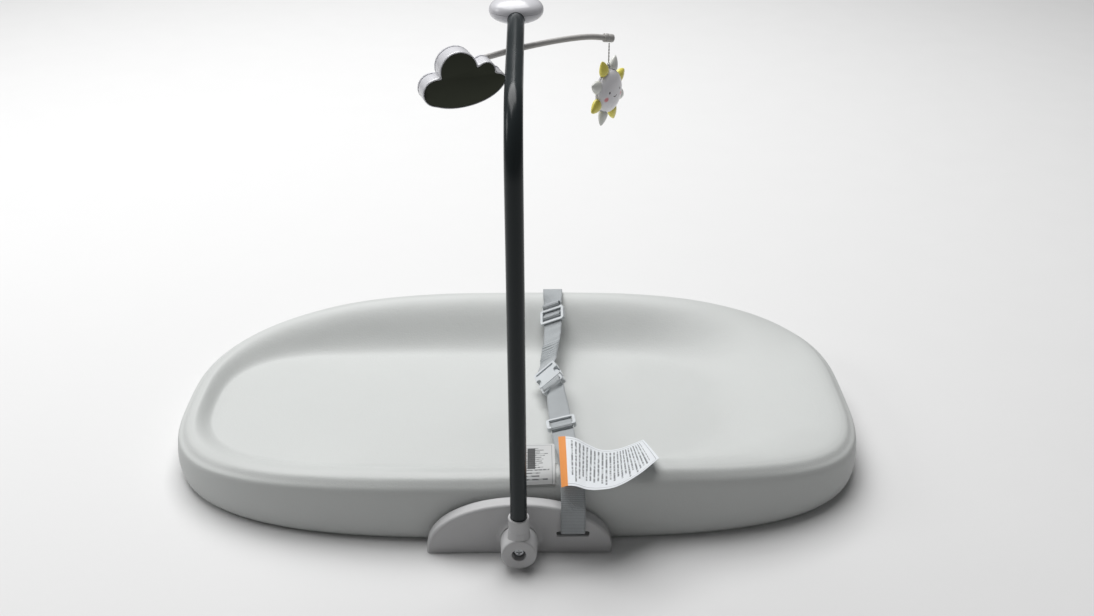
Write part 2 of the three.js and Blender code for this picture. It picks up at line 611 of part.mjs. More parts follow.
function addSun() {
  const sun = new THREE.Group();
  sun.position.copy(SUN_CENTRE);
  sun.rotation.z = SUN_TURN;
  group.add(sun);
  addMesh(sun, 'sun_face', sunDome(10, GAP / 2).rotateX(Math.PI), 'whitePlastic');
  addMesh(sun, 'sun_back', sunDome(7, GAP / 2), 'whitePlastic');
  for (let i = 0; i < SUN_RAYS; i++) {
    const ray = turned('z', [[0, 0], [6.4, 0], [7.4, 2.6], [6.4, 7], [3.8, 12.4], [1.6, 15.2], [0, 15.8]], 12);
    ray.scale(1, 0.62, 1).translate(0, 0, SUN_DISC_RADIUS + 0.9);
    ray.rotateY((i + 0.5) * ((Math.PI * 2) / SUN_RAYS));
    addMesh(sun, `sun_ray_${i + 1}`, ray, i % 2 ? 'yellow' : 'paleGrey');
  }
  const eyelet = new THREE.TorusGeometry(EYELET.radius, EYELET.wire, 6, 16).rotateX(Math.PI / 2);
  addMesh(sun, 'sun_eyelet', eyelet, 'zincSteel').position.set(0, 0, SUN_DISC_RADIUS + EYELET.lift);

  const cordTop = BAR_HEAD_END.z - 4.7 - 0.4;
  const eyeletTop = SUN_CENTRE.z + SUN_DISC_RADIUS + EYELET.lift + EYELET.radius + EYELET.wire;
  const cord = new THREE.LineCurve3(
    new THREE.Vector3(BAR_HEAD_END.x, BAR_HEAD_END.y, eyeletTop + GAP),
    new THREE.Vector3(BAR_HEAD_END.x, BAR_HEAD_END.y, cordTop));
  addMesh(group, 'sun_cord', roundBar(cord, CORD_RADIUS, 5, 4), 'cordYarn');
}

// ---------- the belt ----------
// A flat strip: each station is [x, y, z, roll], with the roll in degrees about the strip's own line.
function strip(stations, width, thickness, steps) {
  const line = new THREE.CatmullRomCurve3(stations.map(([x, y, z]) => new THREE.Vector3(x, y, z)),
    false, 'centripetal');
  const rolls = new THREE.CatmullRomCurve3(stations.map(([, , , roll], i) => new THREE.Vector3(i, roll, 0)),
    false, 'centripetal');
  const rings = [];
  for (let i = 0; i <= steps; i++) {
    const t = i / steps;
    const along = line.getTangent(t);
    const across = new THREE.Vector3(1, 0, 0).projectOnPlane(along).normalize();
    across.applyAxisAngle(along, THREE.MathUtils.degToRad(rolls.getPoint(t).y));
    const up = new THREE.Vector3().crossVectors(along, across);
    const middle = line.getPoint(t);
    rings.push([[1, 1], [-1, 1], [-1, -1], [1, -1]].map(([a, b]) => middle.clone()
      .addScaledVector(across, (a * width) / 2).addScaledVector(up, (b * thickness) / 2)));
  }
  return ringSkin(rings, line.getPoint(0), line.getPoint(1));
}

const BELT_JOIN_Y = 0;
const BELT_UNDER_Z = 1.8;
// From under the pad, up the rear wall, over the rim, through the rear slider, to the buckle.
const REAR_BELT = [
  [53.6, BELT_JOIN_Y + 0.4, BELT_UNDER_Z, 0], [50, 100, BELT_UNDER_Z, 0], [46.4, 198, BELT_UNDER_Z, 0],
  [46, 210, 3, 0], [46, 215.2, 9, 0], [46, 215.4, 24, 0], [46, 215, 48, 0], [46, 213, 66, 0],
  [46, 209, 79, 0], [46, 202, 85.6, 0], [46, 192.5, 87.6, 3], [46, 184, 87.2, 8], [45.9, 172, 82.8, 25],
  [45.6, 150, 73.8, 28], [45.3, 128, 64.8, 28], [43, 98, 58.5, 34], [39.5, 66, 57.2, 37],
  [35.6, 46.4, 58, 38],
];
// From under the pad, out of the slot, up the front wall, through the front slider, to the buckle.
const FRONT_BELT = [
  [53.8, BELT_JOIN_Y - 0.4, BELT_UNDER_Z, 0], [57, -100, BELT_UNDER_Z, 0], [61.2, -206, BELT_UNDER_Z, 0],
  [61.4, -214.6, 3.4, 0], [61.4, -216.8, 9, 0], [61.4, -216.9, 17, 0], [61.4, -217.7, 21.6, 0],
  [61.4, -219.8, 24.8, 0], [61.4, -224, 25.6, 0], [61.4, -229, 25.6, 0], [61.4, -231.9, 26.4, 0],
  [61.4, -233.3, 28.8, 0], [61.4, -233.4, 36, 0], [61.4, -233.4, 50, 0], [61.4, -232.2, 59.4, 0],
  [61.2, -225, 70, 0], [61.1, -216.4, 78, 0],
  [61, -209, 82.6, 0], [60.6, -199, 85.6, 0], [60, -188, 85.2, -2], [58.4, -166, 79.6, -5],
  [55, -130, 70.8, -10], [53.4, -104, 66, -12], [52, -84, 63.2, -12], [50.6, -64, 60.4, -13],
  [49.2, -44, 58.8, -20], [47, -16, 58.2, -34], [46.4, -4.4, 58.2, -38],
];

function addBelt() {
  addMesh(group, 'belt_rear', strip(REAR_BELT, BELT_WIDTH, BELT_THICKNESS, 54), 'webbing');
  addMesh(group, 'belt_front', strip(FRONT_BELT, BELT_WIDTH, BELT_THICKNESS, 64), 'webbing');
}

// A three-bar slider: the end bars lie over the webbing and the middle bar under it.
function sliderShape() {
  const railX = BELT_WIDTH / 2 + 2.4;
  const barGap = BELT_THICKNESS / 2 + 0.9;
  const width = 2 * railX + 3.2;
  const pieces = [-railX, railX].map((x) => rod('y', 1.9, 21, x, 0, 0, 12));
  for (const y of [-9.4, 9.4]) pieces.push(box(width, 3.4, 2, 0, y, barGap + 1));
  const under = box(width, 3, 2, 0, 0, -barGap - 1);
  return join(under, ...pieces);
}

function addSlider(name, place, turn, roll, slope) {
  const slider = addMesh(group, name, sliderShape(), 'beltPlastic');
  slider.position.set(...place);
  slider.rotation.set(slope, roll, turn, 'ZXY');
}

// ---------- the side-release buckle ----------
function addBuckle() {
  const buckle = new THREE.Group();
  buckle.position.copy(BUCKLE_CENTRE);
  buckle.rotation.set(0, BUCKLE_ROLL, BUCKLE_TURN, 'ZYX');
  group.add(buckle);
  const body = roundedSlab(32, 30, 9).translate(0, 2, 0);
  const mouth = box(24.6, 22, 5, 0, -7, 0);
  const windows = box(60, 11, 4.6, 0, -2, 0);
  const rearSlot = box(27, 3.6, 20, 0, 12, 0);
  addMesh(buckle, 'buckle_socket', cut(body, mouth, windows, rearSlot), 'beltPlastic');

  const base = roundedSlab(31, 11.4, 8).translate(0, -19.2, 0);
  const tongue = box(5, 18, 3, 0, -5.6, 0);
  const frontSlot = box(27, 3.4, 20, 0, -20.4, 0);
  const guide = box(24, 4, 4.2, 0, -12.6, 0);
  addMesh(buckle, 'buckle_plug', cut(join(base, guide, tongue), frontSlot), 'beltPlastic');
  for (const [side, name] of [[-1, 'buckle_prong_left'], [1, 'buckle_prong_right']]) {
    const arm = new THREE.Shape();
    arm.moveTo(side * 7.2, PRONG_ROOT_Y);
    arm.lineTo(side * 10.6, PRONG_ROOT_Y);
    arm.lineTo(side * 11.2, -7);
    arm.lineTo(side * 15, -6.4);
    arm.lineTo(side * 14.2, -0.6);
    arm.lineTo(side * 11.2, 2.8);
    arm.lineTo(side * 9, 2.8);
    arm.closePath();
    const prong = new THREE.ExtrudeGeometry(arm, { depth: 3.6, bevelEnabled: false }).translate(0, 0, -1.8);
    addMesh(buckle, name, prong, 'beltPlastic');
  }
}

function roundedSlab(width, length, thickness) {
  const corner = 3;
  const bevel = 1.2;
  const w = width / 2;
  const l = length / 2;
  const outline = new THREE.Shape();
  outline.moveTo(-w + corner, -l);
  outline.lineTo(w - corner, -l);
  outline.quadraticCurveTo(w, -l, w, -l + corner);
  outline.lineTo(w, l - corner);
  outline.quadraticCurveTo(w, l, w - corner, l);
  outline.lineTo(-w + corner, l);
  outline.quadraticCurveTo(-w, l, -w, l - corner);
  outline.lineTo(-w, -l + corner);
  outline.quadraticCurveTo(-w, -l, -w + corner, -l);
  return new THREE.ExtrudeGeometry(outline, {
    depth: thickness - 2 * bevel, curveSegments: 4, bevelThickness: bevel, bevelSize: bevel,
    bevelOffset: -bevel, bevelSegments: 2,
  }).translate(0, 0, bevel - thickness / 2);
}

// ---------- the sewn labels ----------
const LABEL_THICKNESS = 0.9;

// Each station is the rear corner and the front corner of the cloth at that place.
function sheet(stations, thickness) {
  const rings = stations.map(([rear, front], i) => {
    const [a, b] = [new THREE.Vector3(...rear), new THREE.Vector3(...front)];
    const near = stations[Math.min(i + 1, stations.length - 1)][0];
    const far = stations[Math.max(i - 1, 0)][0];
    const along = new THREE.Vector3(...near).sub(new THREE.Vector3(...far));
    const up = new THREE.Vector3().crossVectors(along, b.clone().sub(a)).normalize();
    const lift = up.multiplyScalar(thickness / 2);
    return [a.clone().add(lift), b.clone().add(lift), b.clone().sub(lift), a.clone().sub(lift)];
  });
  const middle = (ring) => ring.reduce((sum, p) => sum.add(p), new THREE.Vector3()).divideScalar(4);
  return ringSkin(rings, middle(rings[0]), middle(rings[rings.length - 1]));
}

function addLabels() {
  addMesh(group, 'long_label', sheet([
    [[47, -152, 94], [49, -228, 84]], [[55, -155, 96.5], [56, -231, 88.5]],
    [[66, -159, 97], [64, -234, 90]], [[79, -166, 93.5], [75, -238, 89]],
    [[92, -172, 91], [88, -240, 90]], [[108, -171, 90.5], [105, -237, 91.5]],
    [[124, -163, 90.5], [129, -220, 94]], [[139, -154, 91], [152, -196, 97]],
  ], LABEL_THICKNESS), 'tagCloth');
  addMesh(group, 'short_label', sheet([
    [[0, -209, 71.5], [43, -209, 73.5]], [[0, -205.6, 76], [43, -205.6, 78]],
    [[0, -199.5, 79.4], [43, -199.5, 82]], [[0, -193, 81], [43, -193, 84]],
    [[0, -182, 81.4], [43, -182, 84]], [[0, -165, 81], [43, -165, 82.6]],
    [[0, -147, 80], [43, -147, 80.4]],
  ], LABEL_THICKNESS), 'tagCloth');
}

addPad();
addBracket();
addPivotFasteners();
addKnuckle();
addMastTube();
addCap();
addToyBar();
addCloud();
addSun();
addBelt();
addSlider('slider_rear', [45.6, 150, 73.8], 0, THREE.MathUtils.degToRad(-28), 0.395);
addSlider('slider_front', [52, -84, 63.2], 0.07, THREE.MathUtils.degToRad(-12), -0.139);
addBuckle();
addLabels();

export default group;
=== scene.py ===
import math
from itertools import accumulate

import bmesh
import bpy
from mathutils import Matrix, Vector, noise


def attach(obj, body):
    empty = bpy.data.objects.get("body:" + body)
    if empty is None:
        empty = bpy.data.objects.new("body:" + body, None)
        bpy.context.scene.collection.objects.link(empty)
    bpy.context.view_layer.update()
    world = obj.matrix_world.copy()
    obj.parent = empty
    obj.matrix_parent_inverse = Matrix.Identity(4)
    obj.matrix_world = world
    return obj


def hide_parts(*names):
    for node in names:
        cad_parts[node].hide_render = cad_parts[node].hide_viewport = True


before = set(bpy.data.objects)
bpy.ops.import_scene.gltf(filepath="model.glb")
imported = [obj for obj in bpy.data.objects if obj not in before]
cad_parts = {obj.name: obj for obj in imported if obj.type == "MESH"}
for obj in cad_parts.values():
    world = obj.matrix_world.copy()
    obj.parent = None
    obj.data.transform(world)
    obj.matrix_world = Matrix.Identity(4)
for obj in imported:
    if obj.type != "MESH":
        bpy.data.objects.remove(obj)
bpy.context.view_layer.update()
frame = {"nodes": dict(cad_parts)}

bl_info = {
    "name": "Foam Changing Pad with Toy Arch",
    "version": (1, 0, 0),
    "blender": (4, 5, 0),
    "location": "View3D > Sidebar > Changing Pad",
    "description": "Builds a contoured foam changing pad with a safety belt and a tilting toy arch",
    "category": "Add Mesh",
}

# Places and sizes below are in millimetres in the frame of the CAD, and mm() turns them into metres.
BRACKET_X = 5
PLATE_FRONT_Y = -231.2
PLATE_THICKNESS = 16.5
HUB_Z = 22.6
HUB_FACE_Y = -262
MAST_Y = -249.5
MAST_BEND_Z = 430
MAST_BEND_RADIUS = 65
MAST_BEND_ANGLE = math.radians(84)
TUBE_END = (BRACKET_X, -13, 513.38)
CAP_CENTRE = (BRACKET_X, 0, 516.6)
CORD_TOP = (104, 50, 466.9)
SLOT_X, SLOT_Z, SLOT_HEIGHT, SLOT_HALF_LENGTH = 61.4, 25.4, 5.6, 17.5
FULL_TURN = 2 * math.pi
SCREW_HOLE_RADIUS = 3.5
TUBE_BORE_RADIUS = 8.9


def mm(x, y, z):
    return Vector((x, y, z)) / 1000


def placed(x, y, z, *turns):
    """A matrix that turns a piece about the given axes, the last one first, and then moves it to x, y, z."""
    matrix = Matrix.Translation(mm(x, y, z))
    for axis, angle in turns:
        matrix = matrix @ Matrix.Rotation(angle, 4, axis)
    return matrix


CLOUD_PLACE = placed(-51, -55, 463, ("Z", math.radians(21)), ("X", math.radians(4)))
SUN_PLACE = placed(104, 50, 414, ("Z", math.radians(58)))
BUCKLE_PLACE = placed(39.2, 24.8, 58, ("Z", math.radians(15)), ("Y", math.radians(-38)))
REAR_SLIDER_PLACE = placed(45.6, 150, 73.8, ("X", 0.395), ("Y", math.radians(-28)))
FRONT_SLIDER_PLACE = placed(52, -84, 63.2, ("Z", 0.07), ("X", -0.139), ("Y", math.radians(-12)))


# ---------- sizes and colours that a user would change ----------
def colour(name, about, value):
    return bpy.props.FloatVectorProperty(
        name=name, description=about, subtype="COLOR", size=3, min=0, max=1, default=value
    )


def length(name, about, value, low=0.0, high=10.0):
    return bpy.props.FloatProperty(
        name=name, description=about, unit="LENGTH", precision=5, min=low, max=high, default=value
    )


class PadSettings(bpy.types.PropertyGroup):
    """The moulded foam pad"""

    skin_colour: colour("Skin colour", "Colour of the foam's closed skin", (0.568, 0.583, 0.573))
    pebble_depth: length("Pebble depth", "Depth of the skin's fine pebbling", 0.00012, 0, 0.002)
    unevenness: length("Unevenness", "How far the soft skin wanders from a true surface", 0.0004, 0, 0.003)
    foot_colour: colour("Grip foot colour", "Colour of the rubber feet", (0.065, 0.067, 0.07))


class ArchSettings(bpy.types.PropertyGroup):
    """The bracket, the mast, the cap and the toy bar"""

    bracket_colour: colour("Bracket colour", "Colour of the grey moulding", (0.50, 0.50, 0.505))
    paint_colour: colour("Mast paint", "Colour of the mast's gloss paint", (0.022, 0.028, 0.030))
    cap_colour: colour("Cap colour", "Colour of the white mouldings", (0.67, 0.67, 0.70))
    bar_colour: colour("Bar colour", "Colour of the turning bar", (0.43, 0.42, 0.405))
    steel_colour: colour("Screw colour", "Colour of the zinc plating", (0.48, 0.50, 0.51))
    edge_radius: length("Edge radius", "Radius on the edges of the mouldings", 0.0006, 0.0001, 0.002)


class ToySettings(bpy.types.PropertyGroup):
    """The cloud mirror and the hanging sun"""

    # Painted reflection: the mirror's colour is kept dark to stand for the dark surroundings it reflects.
    mirror_painted_reflection: colour("Mirror tint", "Tint of the plastic mirror", (0.034, 0.037, 0.028))
    # Painted light: the face's white is lighter than the white mouldings, to make up for the shade on the sun's front.
    face_painted_lit_white: colour("Sun face", "Colour of the sun's face", (0.88, 0.87, 0.90))
    ray_colour: colour("Yellow ray", "Colour of every second ray", (0.90, 0.80, 0.16))
    pale_ray_colour: colour("Pale ray", "Colour of the other rays", (0.80, 0.81, 0.77))
    cheek_colour: colour("Cheek", "Colour of the two painted cheeks", (0.80, 0.17, 0.20))
    cord_diameter: length("Cord diameter", "Diameter of the sun's twisted cord", 0.0007, 0.0003, 0.002)


class BeltSettings(bpy.types.PropertyGroup):
    """The safety belt and its labels"""

    webbing_colour: colour("Webbing colour", "Colour of the woven belt", (0.40, 0.425, 0.44))
    plastic_colour: colour("Buckle colour", "Colour of the buckle and sliders", (0.62, 0.65, 0.67))
    webbing_thickness: length("Webbing thickness", "Thickness of the belt", 0.0015, 0.0008, 0.003)
    rib_pitch: length("Rib pitch", "Distance between the cross ribs of the weave", 0.0019, 0.0005, 0.003)
    label_colour: colour("Label colour", "Colour of the label cloth", (0.80, 0.83, 0.86))
    band_colour: colour("Band colour", "Colour of the band across the long label", (0.83, 0.30, 0.06))


class StageSettings(bpy.types.PropertyGroup):
    """The floor, the light and the camera"""

    floor_colour: colour("Floor colour", "Colour of the plain floor", (0.74, 0.74, 0.74))
    key_power: bpy.props.FloatProperty(
        name="Key power", description="Power of the broad light overhead, in watts", min=0, default=150
    )
    fill_strength: bpy.props.FloatProperty(
        name="Fill strength", description="Strength of the light from all round", min=0, default=0.10
    )
    focal_length: bpy.props.FloatProperty(
        name="Focal length", description="Focal length on a sensor 36 mm wide", min=1, default=38.541,
        subtype="DISTANCE_CAMERA",
    )


# ---------- modelling ----------
def rest():
    """Object mode with nothing selected, so that an operator acts only on what is made next."""
    if bpy.context.mode != "OBJECT":
        bpy.ops.object.mode_set(mode="OBJECT")
    bpy.ops.object.select_all(action="DESELECT")


def hold(piece):
    rest()
    piece.select_set(True)
    bpy.context.view_layer.objects.active = piece
    return piece


def named(name):
    piece = bpy.context.object
    piece.name = piece.data.name = name
    return piece


def pick(kind, test):
    """In edit mode, selects the vertices, edges or faces that pass the test, and nothing else."""
    bpy.ops.mesh.select_mode(type=kind)
    bpy.ops.mesh.select_all(action="DESELECT")
    mesh = bpy.context.object.data
    shape = bmesh.from_edit_mesh(mesh)
    for part in {"VERT": shape.verts, "EDGE": shape.edges, "FACE": shape.faces}[kind]:
        if test(part):
            part.select_set(True)
    shape.select_flush_mode()
    bmesh.update_edit_mesh(mesh)


def edit_all():
    """Edit mode with the whole mesh selected."""
    bpy.ops.object.mode_set(mode="EDIT")
    bpy.ops.mesh.select_all(action="SELECT")


def extrude(x, y, z):
    """Draws the selection out by a step in millimetres."""
    bpy.ops.mesh.extrude_region_move(TRANSFORM_OT_translate={"value": mm(x, y, z)})


def face_outwards():
    bpy.ops.mesh.select_all(action="SELECT")
    bpy.ops.mesh.normals_make_consistent(inside=False)


def outward(piece):
    """Merges doubled corners and turns every face outwards."""
    hold(piece)
    bpy.ops.object.mode_set(mode="EDIT")
    bpy.ops.mesh.select_mode(type="VERT")
    bpy.ops.mesh.select_all(action="SELECT")
    bpy.ops.mesh.remove_doubles(threshold=1e-6)
    bpy.ops.mesh.normals_make_consistent(inside=False)
    rest()
    return piece


def modify(piece, kind, **values):
    """Applies a modifier with the given values."""
    hold(piece)
    modifier = piece.modifiers.new(kind.title(), kind)
    for name, value in values.items():
        setattr(modifier, name, value)
    bpy.ops.object.modifier_apply(modifier=modifier.name)
    return piece


def settle(piece, matrix=None):
    """Puts a piece's place into its mesh, after an optional move."""
    if matrix is not None:
        piece.matrix_world = matrix @ piece.matrix_world
    hold(piece)
    bpy.ops.object.transform_apply(location=True, rotation=True, scale=True)
    return piece


def drawn_out(name, sides, rings, place):
    """A closed skin drawn out ring by ring from a disc.

    place(ring, turn) gives each corner in metres, and turn is a share of a full turn.
    """
    rest()
    bpy.ops.mesh.primitive_circle_add(vertices=sides, radius=1, fill_type="NGON")
    piece = named(name)
    edit_all()
    for _ in range(rings - 1):
        bpy.ops.mesh.extrude_region_move(TRANSFORM_OT_translate={"value": (0, 0, 1)})
    rest()
    for corner in piece.data.vertices:
        turn = round(math.atan2(corner.co.y, corner.co.x) / FULL_TURN * sides) % sides / sides
        corner.co = place(round(corner.co.z), turn)
    return outward(piece)


def turned(name, sides, profile, place=None):
    """A disc drawn out along Z and resized at each (radius, height) of the profile, in millimetres."""
    rest()
    (radius, height), *others = profile
    bpy.ops.mesh.primitive_circle_add(
        vertices=sides, radius=radius / 1000, fill_type="NGON", location=mm(0, 0, height)
    )
    piece = settle(named(name))
    edit_all()
    for next_radius, next_height in others:
        extrude(0, 0, next_height - height)
        share = next_radius / radius
        bpy.ops.transform.resize(value=(share, share, 1), center_override=mm(0, 0, next_height))
        radius, height = next_radius, next_height
    outward(piece)
    return settle(piece, place) if place else piece


def block(name, size, place):
    """A cube primitive of the given size in millimetres."""
    rest()
    bpy.ops.mesh.primitive_cube_add(size=1)
    piece = named(name)
    piece.scale = mm(*size)
    settle(piece)
    return settle(piece, place)


def drum(radius, depth, place, sides=48):
    """A cylinder primitive along Z, in millimetres, used to cut or add."""
    rest()
    bpy.ops.mesh.primitive_cylinder_add(vertices=sides, radius=radius / 1000, depth=depth / 1000)
    return settle(named("drum"), place)


def combine(piece, *others, operation="DIFFERENCE"):
    """Cuts the others out of the piece, or unites them with it."""
    for other in others:
        modify(piece, "BOOLEAN", operation=operation, solver="EXACT", object=other)
        bpy.data.objects.remove(other)
    return piece


def soften(piece, width, segments=3, limit=35):
    """Rounds the edges that turn by more than limit, in degrees, and keeps the flat faces' shading flat."""
    modify(piece, "BEVEL", width=width, segments=segments, limit_method="ANGLE", angle_limit=math.radians(limit))
    bpy.ops.object.shade_smooth()
    return modify(piece, "WEIGHTED_NORMAL")


def smooth(piece, limit):
    """Shades a piece smooth wherever it turns by less than limit, in degrees."""
    hold(piece)
    bpy.ops.object.shade_smooth_by_angle(angle=math.radians(limit))
    return piece


def joined(name, *pieces):
    """Several pieces in one mesh."""
    hold(pieces[0])
    for piece in pieces[1:]:
        piece.select_set(True)
    bpy.ops.object.join()
    return named(name)


def smooth_step(start, end, value):
    t = min(max((value - start) / (end - start), 0), 1)
    return t * t * (3 - 2 * t)


def along(points, share):
    """The point at a share of the way along a smooth centripetal line through the points."""
    last = len(points) - 1
    place = min(max(share, 0), 1) * last
    i = min(int(place), last - 1)
    weight = place - i
    b, c = points[i], points[i + 1]
    a = points[i - 1] if i else 2 * b - c
    d = points[i + 2] if i + 2 <= last else 2 * c - b
    before, span, after = ((q - p).length ** 0.5 for p, q in ((a, b), (b, c), (c, d)))
    leave = ((b - a) / before - (c - a) / (before + span) + (c - b) / span) * span
    arrive = ((c - b) / span - (d - b) / (span + after) + (d - c) / after) * span
    return (
        b + leave * weight + (3 * (c - b) - 2 * leave - arrive) * weight**2
        + (2 * (b - c) + leave + arrive) * weight**3
    )


def rod_along(name, points, radius, sides):
    """A round rod along the points, which are in metres, made from a bevelled curve."""
    rest()
    bpy.ops.curve.primitive_bezier_curve_add()
    rod = bpy.context.object
    rod.data.splines.clear()
    line = rod.data.splines.new("POLY")
    line.points.add(len(points) - 1)
    for spot, point in zip(line.points, points):
        spot.co = (*point, 1)
    rod.data.dimensions = "3D"
    rod.data.bevel_depth = radius
    rod.data.bevel_resolution = sides // 4
    rod.data.use_fill_caps = True
    bpy.ops.object.convert(target="MESH")
    return outward(settle(named(name)))


def ride(piece, body, slot, material, *nodes):
    """Gives a finished piece its material and its body, and hides the CAD nodes that it stands for. The slot is not
    used.
    """
    piece.data.materials.clear()
    piece.data.materials.append(material)
    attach(piece, body)
    if nodes:
        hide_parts(*nodes)
    return piece


def keep(material, *nodes, edge=0.0):
    """Gives CAD nodes a material, and with an edge width their sharp edges are rounded."""
    for node in nodes:
        piece = frame["nodes"][node]
        piece.data.materials.clear()
        piece.data.materials.append(material)
        if edge:
            piece.modifiers.new("Weld", "WELD").merge_threshold = 1e-6
            bevel = piece.modifiers.new("Edges", "BEVEL")
            bevel.width, bevel.segments, bevel.limit_method = edge, 2, "ANGLE"
            bevel.angle_limit = math.radians(35)
            piece.modifiers.new("Weights", "WEIGHTED_NORMAL")


# ---------- shader groups and materials ----------
def fill(socket, value):
    """Gives a socket a plain value, or a link from another socket or from a Number."""
    source = value.socket if isinstance(value, Number) else value
    if isinstance(source, bpy.types.NodeSocket):
        socket.id_data.links.new(source, socket)
    else:
        socket.default_value = source


def add(tree, kind, inputs=None, **values):
    """A node with its settings, and with its inputs filled."""
    node = tree.nodes.new(kind)
    for name, value in values.items():
        setattr(node, name, value)
    for name, value in (inputs or {}).items():
        fill(node.inputs[name], value)
    return node


class Number:
    """A number in a shader tree, known by its socket. Arithmetic on it adds nodes to that tree."""

    def __init__(self, socket):
        self.socket = socket

    def math(self, operation, *values):
        inputs = dict(enumerate((self, *values)))
        return Number(add(self.socket.id_data, "ShaderNodeMath", inputs, operation=operation).outputs[0])

    def __add__(self, other):
        return self.math("ADD", other)

    def __sub__(self, other):
        return self.math("SUBTRACT", other)

    def __rsub__(self, other):
        node = add(self.socket.id_data, "ShaderNodeMath", {0: other, 1: self}, operation="SUBTRACT")
        return Number(node.outputs[0])

    def __mul__(self, other):
        return self.math("MULTIPLY", other)

    def __truediv__(self, other):
        return self.math("DIVIDE", other)

    def __gt__(self, other):
        return self.math("GREATER_THAN", other)

    def __lt__(self, other):
        return self.math("LESS_THAN", other)

    def __abs__(self):
        return self.math("ABSOLUTE")

    def scaled(self, factor, offset):
        return self.math("MULTIPLY_ADD", factor, offset)

    def mapped(self, from_low, from_high, to_low=0.0, to_high=1.0):
        """Runs from to_low to to_high, and no further, as the number runs from from_low to from_high."""
        node = add(self.socket.id_data, "ShaderNodeMapRange",
                   {"Value": self, "From Min": from_low, "From Max": from_high, "To Min": to_low,
                    "To Max": to_high}, clamp=True)
        return Number(node.outputs[0])

    def between(self, low, high, soft):
        """A mask that is 1 from low to high and fades out over soft."""
        return self.mapped(low - soft, low) * self.mapped(high, high + soft, 1.0, 0.0)


def axes(tree, vector):
    return [Number(socket) for socket in add(tree, "ShaderNodeSeparateXYZ", {0: vector}).outputs]


def noise_of(tree, place, scale, detail, **inputs):
    node = add(tree, "ShaderNodeTexNoise", {"Vector": place, "Scale": scale, "Detail": detail, **inputs})
    return Number(node.outputs[0])


def wave_of(tree, place, scale, distortion, direction, **inputs):
    node = add(tree, "ShaderNodeTexWave", {"Vector": place, "Scale": scale, "Distortion": distortion, **inputs},
               bands_direction=direction)
    return Number(node.outputs["Fac"])


def bumped(tree, height, distance, **inputs):
    return add(tree, "ShaderNodeBump", {"Height": height, "Distance": distance, **inputs}).outputs[0]


def blended(tree, share, a, b):
    """A colour between a and b."""
    return add(tree, "ShaderNodeMix", {0: share, 6: a, 7: b}, data_type="RGBA").outputs[2]


def shader_group(name, inputs, outputs):
    """An empty group: its tree, the sockets that bring its inputs, and its output node."""
    tree = bpy.data.node_groups.new(name, "ShaderNodeTree")
    for label, kind, value in inputs:
        socket = tree.interface.new_socket(name=label, in_out="INPUT", socket_type=f"NodeSocket{kind}")
        if value is not None:
            socket.default_value = value
    for label, kind in outputs:
        tree.interface.new_socket(name=label, in_out="OUTPUT", socket_type=f"NodeSocket{kind}")
    given = tree.nodes.new("NodeGroupInput")
    return tree, given.outputs[:len(inputs)], tree.nodes.new("NodeGroupOutput")


def make_mottle():
    """Slow drifts and fine specks in a colour, as pigment and handling leave them."""
    tree, (place, tint, drift, patch_scale, specks), result = shader_group(
        "Mottle",
        [("Vector", "Vector", None), ("Colour", "Color", None), ("Drift", "Float", 0.05),
         ("Patch Scale", "Float", 14.0), ("Specks", "Float", 0.03)],
        [("Colour", "Color"), ("Drift", "Float")],
    )
    slow = noise_of(tree, place, patch_scale, 4.0, Roughness=0.55)
    fine = noise_of(tree, place, 900.0, 2.0)
    value = ((slow - 0.5) * drift).scaled(2.0, 1.0) + (fine - 0.5) * specks
    changed = add(tree, "ShaderNodeHueSaturation", {"Color": tint, "Value": value})
    fill(result.inputs[0], changed.outputs[0])
    fill(result.inputs[1], slow)
    return tree


def make_grain():
    """Fine pebbling with a scatter of shallow pits, as a height."""
    tree, (place, scale, pits), result = shader_group(
        "Grain",
        [("Vector", "Vector", None), ("Scale", "Float", 700.0), ("Pits", "Float", 0.2)],
        [("Height", "Float")],
    )
    cells = add(tree, "ShaderNodeTexVoronoi", {"Vector": place, "Scale": scale}, feature="SMOOTH_F1")
    pebbles = Number(cells.outputs[0]).scaled(-0.6, noise_of(tree, place, scale, 3.0))
    pit = noise_of(tree, place, 160.0, 1.0).mapped(0.66, 0.74)
    fill(result.inputs[0], pebbles - pit * pits)
    return tree


def make_weave():
    """Ribbed webbing on a strip's own map: u runs across and v along, both in metres. Its Shade output darkens the
    colour between the ribs and yarns as painted shade, and adds random fuzz and a darker selvedge.
    """
    tree, (place, rib_pitch, width), result = shader_group(
        "Webbing Weave",
        [("Vector", "Vector", None), ("Rib Pitch", "Float", 0.0011), ("Width", "Float", 0.0254)],
        [("Height", "Float"), ("Shade", "Float")],
    )
    across, run, _ = axes(tree, place)
    yarn_pitch = Number(rib_pitch) * 0.62
    column = across / yarn_pitch
    staggered = run / rib_pitch + column.math("FLOOR") * 0.5
    rib = (staggered * FULL_TURN).math("SINE")
    cross_rib = abs((run / rib_pitch * (FULL_TURN / 2)).math("SINE"))
    yarn = abs((column * math.pi).math("SINE"))
    woven = rib.scaled(0.22, yarn * 0.35)
    selvedge = abs(across / width - 0.5).mapped(0.43, 0.46)
    fuzz = noise_of(tree, place, 1800.0, 2.0)
    # The rib and yarn terms paint shade into the grooves between them.
    shade = fuzz.scaled(0.22, woven.scaled(0.16, cross_rib * 0.42))
    fill(result.inputs[0], cross_rib.scaled(0.5, woven))
    fill(result.inputs[1], shade - selvedge * 0.16)
    return tree


def group_outputs(tree, name, maker, inputs):
    """The outputs of a shader group, which is made the first time it is asked for."""
    group = bpy.data.node_groups.get(name) or maker()
    return add(tree, "ShaderNodeGroup", inputs, node_tree=group).outputs


